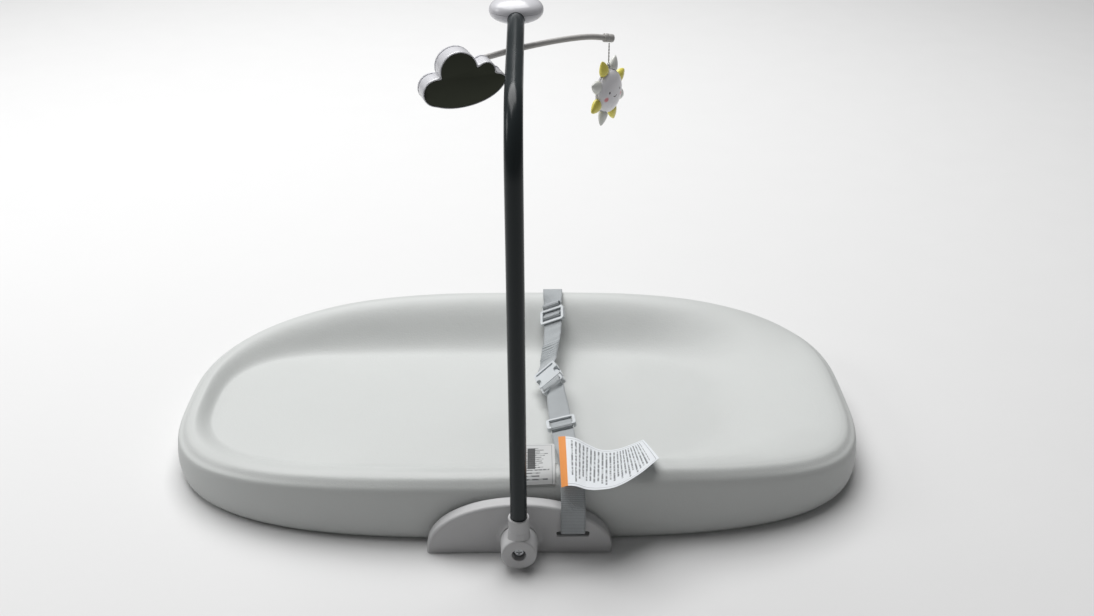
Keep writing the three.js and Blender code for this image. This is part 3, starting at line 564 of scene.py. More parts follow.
def mottled(tree, place, tint, drift, patch_scale=14.0, specks=0.03):
    """A colour with drifts and specks, and the slow drift itself."""
    colour_out, drift_out = group_outputs(
        tree, "Mottle", make_mottle,
        {"Vector": place, "Colour": (*tint, 1), "Drift": drift, "Patch Scale": patch_scale, "Specks": specks})
    return colour_out, Number(drift_out)


def grain(tree, place, scale, pits):
    return group_outputs(tree, "Grain", make_grain, {"Vector": place, "Scale": scale, "Pits": pits})[0]


def new_material(name):
    """An empty material, its tree, and its Object and UV coordinates."""
    material = bpy.data.materials.new(name)
    material.use_nodes = True
    coordinates = material.node_tree.nodes.new("ShaderNodeTexCoord")
    return material, material.node_tree, coordinates.outputs["Object"], coordinates.outputs["UV"]


def finished(material, tint, roughness, normal, others=()):
    """A material whose Principled shader has its colour, roughness and normal, and any other inputs."""
    shader = material.node_tree.nodes["Principled BSDF"]
    for name, value in {"Base Color": tint, "Roughness": roughness, "Normal": normal, **dict(others)}.items():
        fill(shader.inputs[name], value)
    return material


def moulded(
    name, tint, low, high, grain_scale=700.0, depth=0.00005, drift=0.04, metallic=0.0, pits=0.15, shine=0.5
):
    """Plastic, paint, rubber or metal with a drifting colour, a fine grain, and roughness from low to high."""
    if name in bpy.data.materials:
        return bpy.data.materials[name]
    material, tree, place, _ = new_material(name)
    mixed, slow = mottled(tree, place, tint, drift)
    bump = bumped(tree, grain(tree, place, grain_scale, pits), depth)
    return finished(material, mixed, slow.mapped(0.3, 0.7, low, high), bump,
                    {"Metallic": metallic, "Specular IOR Level": shine})


def grey_moulding(context):
    return moulded("Grey Moulding", context.scene.arch.bracket_colour, 0.42, 0.56, 1500, 0.00004)


def white_moulding(context):
    return moulded("White Moulding", context.scene.arch.cap_colour, 0.16, 0.26, 400, 0.00001, 0.02)


def bar_moulding(context):
    return moulded("Bar Moulding", context.scene.arch.bar_colour, 0.38, 0.5, 1200, 0.00004)


def belt_moulding(context):
    return moulded("Belt Moulding", context.scene.belt.plastic_colour, 0.34, 0.46, 1300, 0.00003)


def zinc(context):
    return moulded("Zinc Plating", context.scene.arch.steel_colour, 0.24, 0.42, 900, 0.00002, 0.1, metallic=0.9)


def grip_rubber(context):
    return moulded("Grip Rubber", context.scene.pad.foot_colour, 0.7, 0.85, 800, 0.0001, 0.08)


def foam_material(tint, pebble_depth):
    """The pad's closed skin: pale, satin and finely pebbled, a little more polished along its crest, where its colour
    is also lightened as a painted highlight.
    """
    material, tree, place, _ = new_material("Foam Skin")
    mixed, slow = mottled(tree, place, tint, 0.035, 9.0, 0.05)
    crest = Number(add(tree, "ShaderNodeAttribute", attribute_name="crest").outputs["Fac"])
    # Painted highlight: along the high crest the colour is blended towards a lighter grey.
    crest_highlight_colour = blended(tree, crest * slow * 0.10, mixed, (0.70, 0.72, 0.70, 1))
    flecks = add(tree, "ShaderNodeTexVoronoi", {"Vector": place, "Scale": 21.0})
    fleck = Number(flecks.outputs["Distance"]).mapped(0.012, 0.02, 0.34, 0.0)
    draw = Number(add(tree, "ShaderNodeSeparateColor", {0: flecks.outputs["Color"]}).outputs[0])
    spotted = blended(tree, fleck * (draw > 0.86), crest_highlight_colour, (0.16, 0.17, 0.15, 1))
    roughness = slow.mapped(0.3, 0.7, 0.46, 0.60) - crest * 0.06
    dimples = bumped(tree, noise_of(tree, place, 34.0, 3.0), 0.0006, Strength=0.5)
    pebbles = bumped(tree, grain(tree, place, 520.0, 0.35), pebble_depth, Normal=dimples)
    return finished(material, spotted, roughness, pebbles, {"Specular IOR Level": 0.42})


def webbing_material(chosen):
    """Woven belt whose ribs run across the strip, on its own map, with painted shade between the ribs darkening its
    colour.
    """
    if "Webbing" in bpy.data.materials:
        return bpy.data.materials["Webbing"]
    material, tree, place, strip = new_material("Webbing")
    height, shade = group_outputs(tree, "Webbing Weave", make_weave,
                                  {"Vector": strip, "Rib Pitch": chosen.rib_pitch})
    mixed, _ = mottled(tree, place, chosen.webbing_colour, 0.06, 40.0, 0.1)
    # The weave's shade output darkens the colour between the ribs as painted shade.
    shaded = add(tree, "ShaderNodeHueSaturation", {"Color": mixed, "Value": Number(shade) + 0.62})
    bump = bumped(tree, height, 0.0005, Strength=1.0)
    return finished(material, shaded.outputs[0], Number(shade).scaled(-0.3, 0.82), bump, {"Sheen Weight": 0.25})


def label_material(name, tint, band, width, run, band_width, line_pitch, patch=None):
    """Coated label cloth with a border and ruled bars, and a band at its root or a plain patch if given."""
    material, tree, place, sheet = new_material(name)
    across, reach, _ = axes(tree, sheet)
    from_far_side, from_tip = width - across, run - reach
    inner = across.math("MINIMUM", from_far_side).math("MINIMUM", from_tip)
    border = inner.between(0.0028, 0.0033, 0.0002)
    row = reach / line_pitch
    ragged = add(tree, "ShaderNodeTexWhiteNoise", {"W": row.math("FLOOR")}, noise_dimensions="1D")
    bar_end = Number(ragged.outputs["Value"]).scaled(0.012, 0.006)
    inside = (across > 0.006) * (from_far_side > bar_end)
    printed_length = (reach > band_width + 0.003) * (from_tip > 0.009)
    bars = row.math("FRACT").between(0.34, 0.66, 0.12) * inside * printed_length
    ink = noise_of(tree, sheet, 260.0, 0.0).mapped(0.42, 0.5, 0.34, 0.82)
    mixed, _ = mottled(tree, place, tint, 0.04, 30.0, 0.03)
    mixed = blended(tree, bars * ink, mixed, (0.05, 0.055, 0.06, 1))
    mixed = blended(tree, border * 0.55, mixed, (0.10, 0.11, 0.12, 1))
    if band_width:
        mixed = blended(tree, reach.between(0.0, band_width, 0.0002), mixed, (*band, 1))
    if patch:
        left, right, low, high = patch
        square = across.between(left, right, 0.0003) * reach.between(low, high, 0.0003)
        mixed = blended(tree, square * 0.94, mixed, (0.02, 0.021, 0.022, 1))
    threads = wave_of(tree, sheet, 900.0, 0.6, "Y") * wave_of(tree, sheet, 900.0, 0.6, "X")
    bump = bumped(tree, threads, 0.00008, Strength=0.7)
    return finished(material, mixed, threads.scaled(0.16, 0.48), bump, {"Sheen Weight": 0.12})


def cord_material():
    """Spun yarn, with slanting dark marks that paint shade into the grooves between its plies."""
    material, tree, place, _ = new_material("Cord Yarn")
    plies = wave_of(tree, place, 420.0, 1.5, "DIAGONAL", Detail=2.0)
    mixed, _ = mottled(tree, place, (0.36, 0.355, 0.34), 0.1, 300.0, 0.2)
    # Painted shade: the colour darkens along the grooves between the plies.
    shaded = blended(tree, plies * 0.35, mixed, (0.16, 0.155, 0.15, 1))
    return finished(material, shaded, plies.scaled(0.14, 0.74), bumped(tree, plies, 0.00012))


def sun_face_material(tint, cheek):
    """Gloss white with two dot eyes, a small smile and round cheeks painted on it."""
    material, tree, place, _ = new_material("Sun Face")
    # The face's lighter white is painted light that offsets the shade on the sun's front.
    mixed, slow = mottled(tree, place, tint, 0.02, specks=0.015)
    inverse = SUN_PLACE.inverted()
    face = add(tree, "ShaderNodeMapping", {"Vector": place, "Location": inverse.translation,
                                           "Rotation": inverse.to_euler()}, vector_type="POINT")
    sideways, _, height = axes(tree, face.outputs[0])

    def oval(x, z, radius_x, radius_z):
        """How far a point lies from the middle of an oval, as a share of its radius. Places are in metres."""
        across, up = (sideways - x) / radius_x, (height - z) / radius_z
        return (across * across + up * up).math("SQRT")

    for side in (-1, 1):
        blush = oval(side * 0.0150 - 0.002, -0.0045, 0.0036, 0.0031).mapped(0.5, 1.0, 1.0, 0.0)
        mixed = blended(tree, blush * 0.85, mixed, (*cheek, 1))
        eye = oval(side * 0.0105 - 0.002, 0.0022, 0.0015, 0.0016).mapped(0.75, 1.0, 1.0, 0.0)
        mixed = blended(tree, eye, mixed, (0.02, 0.02, 0.025, 1))
    smile = oval(-0.002, -0.001, 0.0038, 0.0034).between(0.86, 1.08, 0.08) * (height < -0.0028)
    mixed = blended(tree, smile, mixed, (0.05, 0.045, 0.045, 1))
    bump = bumped(tree, grain(tree, place, 400.0, 0.1), 0.00001)
    return finished(material, mixed, slow.scaled(0.12, 0.14), bump)


def mirror_material(tint):
    """Plastic mirror sheet, slightly wavy, with faint smears; its dark colour is a painted dark reflection."""
    material, tree, place, _ = new_material("Mirror Sheet")
    # The dark tint is a painted reflection, not the colour of the mirror sheet.
    mixed, _ = mottled(tree, place, tint, 0.10, 22.0, 0.04)
    smears = noise_of(tree, place, 55.0, 5.0, Distortion=1.2)
    waves = bumped(tree, noise_of(tree, place, 18.0, 1.0), 0.0004, Strength=0.4)
    return finished(material, mixed, smears.mapped(0.35, 0.75, 0.04, 0.16), waves, {"Metallic": 1.0})


# ---------- the foam pad ----------
PAD_HALF_LENGTH, PAD_HALF_WIDTH = 400, 213.3
PAD_SIDES = 240
SEAM_OFFSET = 0.0002
# Up the wall: (inset from the outline, share of the crease's height, lift). Over the crest: (inset, share of its rise).
PAD_WALL = ((6, 0, 0), (2, 0, 6), (0, 0, 20), (1, 0.55, 8), (3.5, 0.86, 4), (8, 1, 0))
PAD_CREST = ((13, 0.7), (20, 1))
CREST_RISE = 6
SPAN_RINGS = 4
SLOPE_RINGS = 16
FLOOR_SHARES = (0.86, 0.72, 0.58, 0.44, 0.3, 0.18, 0.08, 0.003)


def pad_outline(angle, inset):
    c, s = math.cos(angle), math.sin(angle)
    power = 2 / (3.35 if c > 0 else 2.95)
    return (
        math.copysign((PAD_HALF_LENGTH - inset) * abs(c) ** power, c),
        math.copysign((PAD_HALF_WIDTH - inset) * abs(s) ** power, s),
    )


def crease_height(angle):
    c, s = math.cos(angle), math.sin(angle)
    front = 70 + 10 * smooth_step(-30, 120, pad_outline(angle, 0)[0])
    side, end = (front if s < 0 else 78), (50 if c > 0 else 46)
    return end + (side - end) * abs(s) ** 2.3


def slope_run(angle):
    end = 150 if math.cos(angle) > 0 else 16
    return end + (78 - end) * abs(math.sin(angle)) ** 1.5


def floor_height(x):
    return 34 + 4 * smooth_step(150, 380, abs(x))


def pad_ring(ring, angle):
    """A point of the pad's skin, in millimetres. Rings run up the wall, over the crest and in to the middle."""
    crease = crease_height(angle)
    section = [Vector((inset, min(crease * share + lift, crease))) for inset, share, lift in PAD_WALL]
    section += [Vector((inset, crease + CREST_RISE * share)) for inset, share in PAD_CREST]
    edge_rings = SPAN_RINGS * (len(section) - 1)
    if ring <= edge_rings:
        inset, z = along(section, ring / edge_rings)
        return (*pad_outline(angle, inset), z)
    crest, last_inset = section[-1].y, section[-1].x
    t = min((ring - edge_rings) / SLOPE_RINGS, 1)
    x, y = pad_outline(angle, last_inset + slope_run(angle) * t)
    if ring <= edge_rings + SLOPE_RINGS:
        return x, y, crest + (floor_height(x) - crest) * smooth_step(0, 1, t)
    share = FLOOR_SHARES[ring - edge_rings - SLOPE_RINGS - 1]
    return x * share, y * share, floor_height(x * share) - 1.5 * smooth_step(0, 1, 1 - share)


def build_pad(context):
    chosen = context.scene.pad
    edge_rings = SPAN_RINGS * (len(PAD_WALL) + len(PAD_CREST) - 1)
    rings = edge_rings + SLOPE_RINGS + len(FLOOR_SHARES) + 1

    def place(ring, turn):
        point = mm(*pad_ring(ring, (turn + SEAM_OFFSET) * FULL_TURN))
        loose = smooth_step(0.006, 0.03, point.z)
        return point + Vector((0, 0, chosen.unevenness * loose * noise.noise(point * 16)))

    pad = drawn_out("foam_pad_skin", PAD_SIDES, rings, place)
    belt_channel = block("channel", (33, 460, 8), placed(53.7, 0, 0, ("Z", math.atan2(15.4, 426))))
    recess = block("recess", (66.6, 97.3, 6.6), placed(BRACKET_X, -169.65, 0))
    pockets = [drum(17.3, 6.6, placed(x, y, 0)) for x in (-280, 280) for y in (-110, 110)]
    combine(pad, belt_channel, recess, *pockets)
    # The crest mask rises with height: it lowers the roughness and paints a lighter highlight along the top.
    crest = pad.data.attributes.new("crest", "FLOAT", "POINT")
    crest.data.foreach_set("value", [smooth_step(0.045, 0.084, corner.co.z) for corner in pad.data.vertices])
    smooth(pad, 38)
    ride(pad, "base", "foam", foam_material(chosen.skin_colour, chosen.pebble_depth), "foam_pad")
    keep(grip_rubber(context), *(f"grip_foot_{i}" for i in (1, 2, 3, 4)), edge=0.0003)


# ---------- the bracket ----------
def build_bracket(context):
    """A half-moon plate: a squashed cylinder is halved, given short upright ends, and rounded round its edge."""
    half_width, arc_height, end_height = 98, 58, 5
    back_y = PLATE_FRONT_Y + PLATE_THICKNESS
    rest()
    bpy.ops.mesh.primitive_cylinder_add(vertices=128, radius=1, depth=1, rotation=(math.pi / 2, 0, 0))
    plate = named("bracket_half_moon")
    plate.scale = mm(half_width, arc_height, PLATE_THICKNESS)
    settle(plate)
    edit_all()
    bpy.ops.mesh.bisect(plane_co=(0, 0, 0), plane_no=(0, 0, 1), use_fill=True, clear_inner=True)
    pick("FACE", lambda face: abs(face.normal.z) > 0.9 and face.calc_center_median().z < 0.0005)
    extrude(0, 0, -end_height)
    face_outwards()
    pick("EDGE", lambda edge: all(abs(abs(v.co.y) - PLATE_THICKNESS / 2000) < 1e-6 for v in edge.verts)
         and edge.calc_length() > 1e-6
         and not all(v.co.z < -0.0049 for v in edge.verts)
         and edge.calc_face_angle(0) > 1.2)
    bpy.ops.mesh.bevel(offset=0.0036, segments=6, profile=0.5, affect="EDGES")
    settle(plate, placed(BRACKET_X, PLATE_FRONT_Y + PLATE_THICKNESS / 2, end_height))
    boss = turned(
        "boss", 96, [(25, -5), (25, 0), (23.4, 0.5), (22.2, 1.5), (21.4, 2.8), (20.6, 4), (20.1, 5.3), (18.4, 5.3)],
        placed(BRACKET_X, PLATE_FRONT_Y, HUB_Z, ("X", math.pi / 2)))
    combine(plate, boss, operation="UNION")
    below = block("below", (400, 200, 20), placed(BRACKET_X, PLATE_FRONT_Y, -10))
    slot_width = 2 * SLOT_HALF_LENGTH
    slot = block("slot", (slot_width, 40, SLOT_HEIGHT), placed(SLOT_X, PLATE_FRONT_Y + 8, SLOT_Z))
    bpy.ops.object.mode_set(mode="EDIT")
    pick("EDGE", lambda edge: abs((edge.verts[0].co - edge.verts[1].co).y) > 0.03)
    bpy.ops.mesh.bevel(offset=0.0022, segments=5, affect="EDGES")
    rest()
    pocket_top = SLOT_Z + SLOT_HEIGHT / 2
    pocket = block("pocket", (slot_width, 12, pocket_top + 2), placed(SLOT_X, back_y + 0.5, pocket_top / 2 - 1))
    bore = drum(SCREW_HOLE_RADIUS, 60, placed(BRACKET_X, PLATE_FRONT_Y, HUB_Z, ("X", math.pi / 2)))
    nut_pocket = drum(6.4, 12, placed(BRACKET_X, back_y, HUB_Z, ("X", math.pi / 2)), 6)
    combine(plate, below, slot, pocket, bore, nut_pocket)
    lip = soften(slot_lip(), 0.0004, 2)
    tongue = soften(block("tongue", (66, 92.7, 3), placed(BRACKET_X, -172.55, 1.5)), 0.0005, 2)
    soften(plate, context.scene.arch.edge_radius, 2, 50)
    plate = joined("bracket_half_moon", plate, tongue, lip)
    ride(plate, "base", "grey_shell", grey_moulding(context), "bracket_plate")


def slot_lip():
    """The raised lip below the belt slot: a slim bar whose front edges are rounded."""
    lip = block("lip", (2 * SLOT_HALF_LENGTH - 1, 1.3, 1.5),
                placed(SLOT_X, PLATE_FRONT_Y - 0.3, SLOT_Z - SLOT_HEIGHT / 2 - 1.1))
    hold(lip)
    bpy.ops.object.mode_set(mode="EDIT")
    pick("EDGE", lambda edge: all(v.co.y < (PLATE_FRONT_Y - 0.5) / 1000 for v in edge.verts))
    bpy.ops.mesh.bevel(offset=0.0005, segments=3, affect="EDGES")
    rest()
    return lip


# ---------- the mast ----------
def build_knuckle(context):
    """The barrel that turns on the bracket and the socket that grips the mast, with a soft root between them."""
    back = placed(BRACKET_X, HUB_FACE_Y, HUB_Z, ("X", -math.pi / 2))
    foot = placed(BRACKET_X, MAST_Y, HUB_Z)
    depth = 24.1
    barrel = turned("barrel", 96, [(8.8, 0), (16.4, 0), (17.5, 0.35), (18.1, 1), (18.5, 2.2), (18.9, 9), (19.4, 19),
                                   (19.6, depth - 0.6), (19.1, depth), (7, depth)], back)
    socket = turned("socket", 72, [(11.2, 0), (10.9, 14), (10.75, 26), (10.6, 37.4), (10.55, 38.2), (10.95, 38.6),
                                   (10.95, 39.7), (10.6, 40.4), (9.2, 40.4)], foot)
    root = turned("root", 72, [(12.1, 12), (12, 15.4), (11.7, 18), (11.3, 21.5), (10.9, 25)], foot)
    combine(barrel, socket, root, operation="UNION")
    recess = turned("recess", 64, [(8.4, -1), (8.4, 0), (7.7, 0.3), (7.3, 0.9), (7.3, 10)], back)
    bore = drum(TUBE_BORE_RADIUS, 60, placed(BRACKET_X, MAST_Y, 60), 64)
    screw_hole = drum(SCREW_HOLE_RADIUS, 80, placed(BRACKET_X, HUB_FACE_Y, HUB_Z, ("X", math.pi / 2)))
    rear_hole = drum(1.8, 12, placed(BRACKET_X, MAST_Y + 11, 54, ("X", math.pi / 2)), 24)
    combine(barrel, recess, bore, screw_hole, rear_hole)
    barrel.name = barrel.data.name = "hub_knuckle"
    soften(barrel, 0.0003, 2, 42)
    ride(barrel, "mast", "grey_shell", grey_moulding(context), "mast_knuckle")
    keep(zinc(context), "pivot_screw", "pivot_nut", "screw_washer", "friction_washer", "socket_screw",
         edge=0.0002)
    keep(grip_rubber(context), "tube_foot_plug", edge=0.0003)


def build_mast(context):
    """A circle drawn straight up, spun through the bend, and drawn on to the cap. Solidify gives it its wall."""
    foot_z, radius, straight_steps, arm_steps = 30.3, 8.6, 12, 6
    rest()
    bpy.ops.mesh.primitive_circle_add(vertices=64, radius=radius / 1000, fill_type="NOTHING",
                                      location=mm(BRACKET_X, MAST_Y, foot_z))
    mast = settle(named("mast_tube_painted"))
    edit_all()
    for _ in range(straight_steps):
        extrude(0, 0, (MAST_BEND_Z - foot_z) / straight_steps)
    bpy.ops.mesh.spin(steps=40, angle=MAST_BEND_ANGLE, axis=(1, 0, 0), dupli=False,
                      center=mm(BRACKET_X, MAST_Y + MAST_BEND_RADIUS, MAST_BEND_Z))
    reach = MAST_BEND_RADIUS * (1 - math.cos(MAST_BEND_ANGLE))
    arm = (TUBE_END[1] - MAST_Y - reach) / math.sin(MAST_BEND_ANGLE)
    for _ in range(arm_steps):
        extrude(0, arm / arm_steps * math.sin(MAST_BEND_ANGLE), arm / arm_steps * math.cos(MAST_BEND_ANGLE))
    modify(outward(mast), "SOLIDIFY", thickness=0.0012, offset=-1)
    smooth(mast, 50)
    paint = moulded("Mast Paint", context.scene.arch.paint_colour, 0.2, 0.28, 300, 0.00002, 0.1, pits=0.05,
                    shine=0.22)
    ride(mast, "mast", "dark_paint", paint, "mast_tube")


# ---------- the cap ----------
def cap_profile(side):
    """The section of half a flattened hollow ovoid. side is 1 for the upper half and -1 for the lower."""
    radius, half_height, wall, squash, steps = 28, 12.6, 2.4, 0.86, 20
    section = []
    for across, height in ((radius, half_height), (radius - wall, half_height - wall)):
        arc = []
        for i in range(steps + 1):
            angle = i / steps * math.pi / 2
            arc.append((max(across * math.cos(angle) ** squash, 0.25),
                        side * max(height * math.sin(angle) ** squash, 0.15)))
        section.append(arc)
    outer, inner = section
    return outer[::-1] + inner


def build_cap(context):
    """Two turned half shells, bored for the tube, the spindle and the screws."""
    halves = []
    for side, name in ((1, "cap_dome_upper"), (-1, "cap_dome_lower")):
        half = turned(name, 96, cap_profile(side), placed(*CAP_CENTRE))
        combine(half, drum(TUBE_BORE_RADIUS, 60, placed(*TUBE_END, ("X", -MAST_BEND_ANGLE)), 64))
        halves.append(half)
    combine(halves[1], drum(3.6, 30, placed(BRACKET_X, 0, 506.6), 40))
    for x in (-10, 20):
        combine(halves[1], drum(2.9, 10, placed(x, 6, 501.8), 32), drum(1.9, 20, placed(x, 6, 504.6), 32))
    for half, node in zip(halves, ("cap_upper", "cap_lower")):
        soften(half, 0.0004, 2, 45)
        ride(half, "mast", "white_gloss", white_moulding(context), node)
    keep(zinc(context), "cap_screw_1", "cap_screw_2", edge=0.0002)


# ---------- the turning toy bar ----------
def build_bar(context):
    """The curved bar and the sleeve at its sun end, with the spindle and the cloud's ball finished."""
    route = [Vector(p) for p in ((-61.5, -27.5, 465.1), (-25, -12.5, 471), (5, 0, 475.6), (50, 23, 478.2),
                                 (82.7, 39.5, 477), (104, 50, 472.6))]
    points = [along(route, i / 64) / 1000 for i in range(65)]
    bar = smooth(rod_along("toy_bar_rod", points, 0.0032, 28), 60)
    ride(bar, "toy_bar", "warm_grey", bar_moulding(context), "toy_bar")
    forward = (points[-1] - points[-4]).normalized()
    turn = forward.to_track_quat("Z", "Y").to_matrix().to_4x4()
    sleeve = turned("bar_end_sleeve", 48, [(3.4, -7), (4.3, -7), (4.7, -6.5), (4.7, -2.4), (4.4, -2.1), (4.5, -1.8),
                                           (4.5, 3.2), (4.2, 4.2), (3.4, 4.8), (0.5, 5)],
                    Matrix.Translation(points[-1]) @ turn)
    smooth(sleeve, 50)
    ride(sleeve, "toy_bar", "warm_grey", bar_moulding(context), "bar_end_clip")
    keep(bar_moulding(context), "bar_spindle", "cloud_ball", edge=0.0002)


# ---------- the cloud ----------
CLOUD_SIDES = 180
CLOUD_LOBES = ((-27, -10, 15), (-4, 10.5, 20), (24.5, 7, 10.5), (37.5, -3.5, 8.5))
CLOUD_MIDDLE = (2, -6)


def cloud_base(inset):
    """The long curve under the lobes, as points."""
    low = 1.4 * inset
    a, b, c, d = (-40.5 + inset, -9), (-40.5 + inset, -37 + low), (30 - inset, -35 + low), (45 - inset, -7)
    points = []
    for i in range(25):
        t = i / 24
        weights = ((1 - t) ** 3, 3 * t * (1 - t) ** 2, 3 * t * t * (1 - t), t**3)
        points.append(tuple(sum(w * p[k] for w, p in zip(weights, (a, b, c, d))) for k in (0, 1)))
    return points


def cloud_reach(inset):
    """How far the outline lies from the cloud's middle, for each of its sides."""
    base = cloud_base(inset)
    reaches = []
    for i in range(CLOUD_SIDES):
        angle = i / CLOUD_SIDES * FULL_TURN
        ray = (math.cos(angle), math.sin(angle))
        found = [0.0]
        for x, z, radius in CLOUD_LOBES:
            dx, dz = x - CLOUD_MIDDLE[0], z - CLOUD_MIDDLE[1]
            forward = dx * ray[0] + dz * ray[1]
            rest_of = (radius - inset) ** 2 - (dx * dx + dz * dz - forward * forward)
            if rest_of > 0:
                found.append(forward + math.sqrt(rest_of))
        for (x1, z1), (x2, z2) in zip(base, base[1:]):
            ax, az = x1 - CLOUD_MIDDLE[0], z1 - CLOUD_MIDDLE[1]
            bx, bz = x2 - x1, z2 - z1
            cross = ray[0] * bz - ray[1] * bx
            if abs(cross) > 1e-9:
                share = (ax * ray[1] - az * ray[0]) / cross
                distance = (ax * bz - az * bx) / cross
                if 0 <= share <= 1 and distance > 0:
                    found.append(distance)
        reaches.append(max(found))
    for _ in range(3):
        reaches = [(reaches[i - 1] + 2 * reaches[i] + reaches[(i + 1) % CLOUD_SIDES]) / 4
                   for i in range(CLOUD_SIDES)]
    return reaches


def cloud_piece(name, section):
    """A solid of the cloud's outline, drawn from front to back through (inset, y)."""
    reaches = [cloud_reach(inset) for inset, _ in section]

    def place(ring, turn):
        reach = reaches[ring][round(turn * CLOUD_SIDES) % CLOUD_SIDES]
        angle = turn * FULL_TURN
        return mm(CLOUD_MIDDLE[0] + reach * math.cos(angle), section[ring][1],
                  CLOUD_MIDDLE[1] + reach * math.sin(angle))

    return settle(drawn_out(name, CLOUD_SIDES, len(section), place), CLOUD_PLACE)


def build_cloud(context):
    shell = cloud_piece("cloud_shell_moulded", [
        (1.3, -7.5), (1.3, -9.6), (1.2, -9.85), (1, -10), (0.7, -9.95), (0.4, -9.7), (0.15, -9.2), (0.02, -8.5),
        (0, -7.4), (0, -2), (0, 4.4), (0.15, 6), (0.6, 7.2), (1.3, 7.8)])
    smooth(shell, 50)
    ride(shell, "cloud", "white_gloss", white_moulding(context), "cloud_shell")
    mirror = cloud_piece("cloud_mirror_sheet", [(2, -9.35), (1.6, -9.3), (1.45, -9.1), (1.45, -7.6)])
    smooth(mirror, 30)
    ride(mirror, "cloud", "mirror_sheet", mirror_material(context.scene.toys.mirror_painted_reflection), "cloud_mirror")
    keep(white_moulding(context), "cloud_back", edge=0.0004)


# ---------- the hanging sun ----------
def build_cord(context):
    """One strand runs down from the bar, through the sun's ring and back up, twisted round itself."""
    twist_radius, pitch, foot_z, ring_z, ring_radius = 0.45, 7.3, 445.7, 443.2, 1.4
    out = SUN_PLACE.to_3x3() @ Vector((0, 1, 0))
    side = SUN_PLACE.to_3x3() @ Vector((1, 0, 0))
    x, y, top_z = CORD_TOP
    axis = Vector((x, y, 0))

    def strand(z, sign):
        turn = (z - foot_z) / pitch * FULL_TURN
        return axis + Vector((0, 0, z)) + sign * twist_radius * (math.cos(turn) * out + math.sin(turn) * side)

    steps = 44
    levels = [top_z + (foot_z - top_z) * i / steps for i in range(steps + 1)]
    down = [strand(z, 1) for z in levels]
    loop = [axis + ring_radius * 0.86 * out + Vector((0, 0, ring_z + 1.1))]
    for i in range(11):
        angle = i / 10 * math.pi
        loop.append(axis + ring_radius * math.cos(angle) * out
                    + Vector((0, 0, ring_z - ring_radius * math.sin(angle))))
    loop.append(axis - ring_radius * 0.86 * out + Vector((0, 0, ring_z + 1.1)))
    up = [strand(z, -1) for z in reversed(levels)]
    points = [p / 1000 for p in down + loop + up]
    diameter = context.scene.toys.cord_diameter
    cord = smooth(rod_along("sun_cord_twisted", points, diameter / 2, 12), 70)
    run = sum((b - a).length for a, b in zip(points, points[1:]))
    ride(cord, "sun_hanger", "cord_yarn", cord_material(), "sun_cord")
    tuple(points[0])
    [tuple(p) for p in points]


def sun_dome(name, depth, front):
    """A low dome drawn out from its flat side, with a rolled rim."""
    radius, steps = 24, 18
    profile = [(radius - 1.2, 0.15), (radius - 0.25, 0.3)]
    for i in range(1, steps + 1):
        angle = i / steps * math.pi / 2
        profile.append((max(radius * math.cos(angle) ** 0.8, 0.2), 0.3 + depth * math.sin(angle) ** 0.9))
    facing = Matrix.Rotation(math.pi / 2 if front else -math.pi / 2, 4, "X")
    return smooth(turned(name, 96, profile, SUN_PLACE @ facing), 60)


def build_sun(context):
    """Two domes, and one soft ray that is modelled once and copied eight times."""
    toys = context.scene.toys
    face = sun_dome("sun_face_dome", 10, True)
    ride(face, "sun", "white_gloss", sun_face_material(toys.face_painted_lit_white, toys.cheek_colour), "sun_face")
    ride(sun_dome("sun_back_dome", 7, False), "sun", "white_gloss", white_moulding(context), "sun_back")
    yellow = moulded("Yellow Ray", toys.ray_colour, 0.2, 0.32, 500, 0.00001, 0.05)
    pale = moulded("Pale Ray", toys.pale_ray_colour, 0.22, 0.34, 500, 0.00001, 0.04)
    section = [(5.4, 0), (6.5, 0.25), (7.1, 1.1), (7.4, 2.6), (7.25, 4.4), (6.7, 6.6), (5.8, 8.9), (4.7, 11),
               (3.5, 12.9), (2.3, 14.4), (1.2, 15.4), (0.3, 15.8)]
    first = turned("sun_ray", 40, section)
    hold(first)
    bpy.ops.transform.resize(value=(1, 0.62, 1), center_override=(0, 0, 0))
    settle(first, placed(0, 0, 23.4))
    for i in range(8):
        hold(first)
        bpy.ops.object.duplicate(linked=False)
        ray = named(f"sun_ray_soft_{i + 1}")
        settle(ray, SUN_PLACE @ Matrix.Rotation((i + 0.5) * FULL_TURN / 8, 4, "Y"))
        smooth(ray, 60)
        ride(ray, "sun", "ray_yellow" if i % 2 else "ray_grey", yellow if i % 2 else pale, f"sun_ray_{i + 1}")
    bpy.data.objects.remove(first)
    keep(zinc(context), "sun_eyelet")


# ---------- the belt ----------
BELT_WIDTH = 25.4
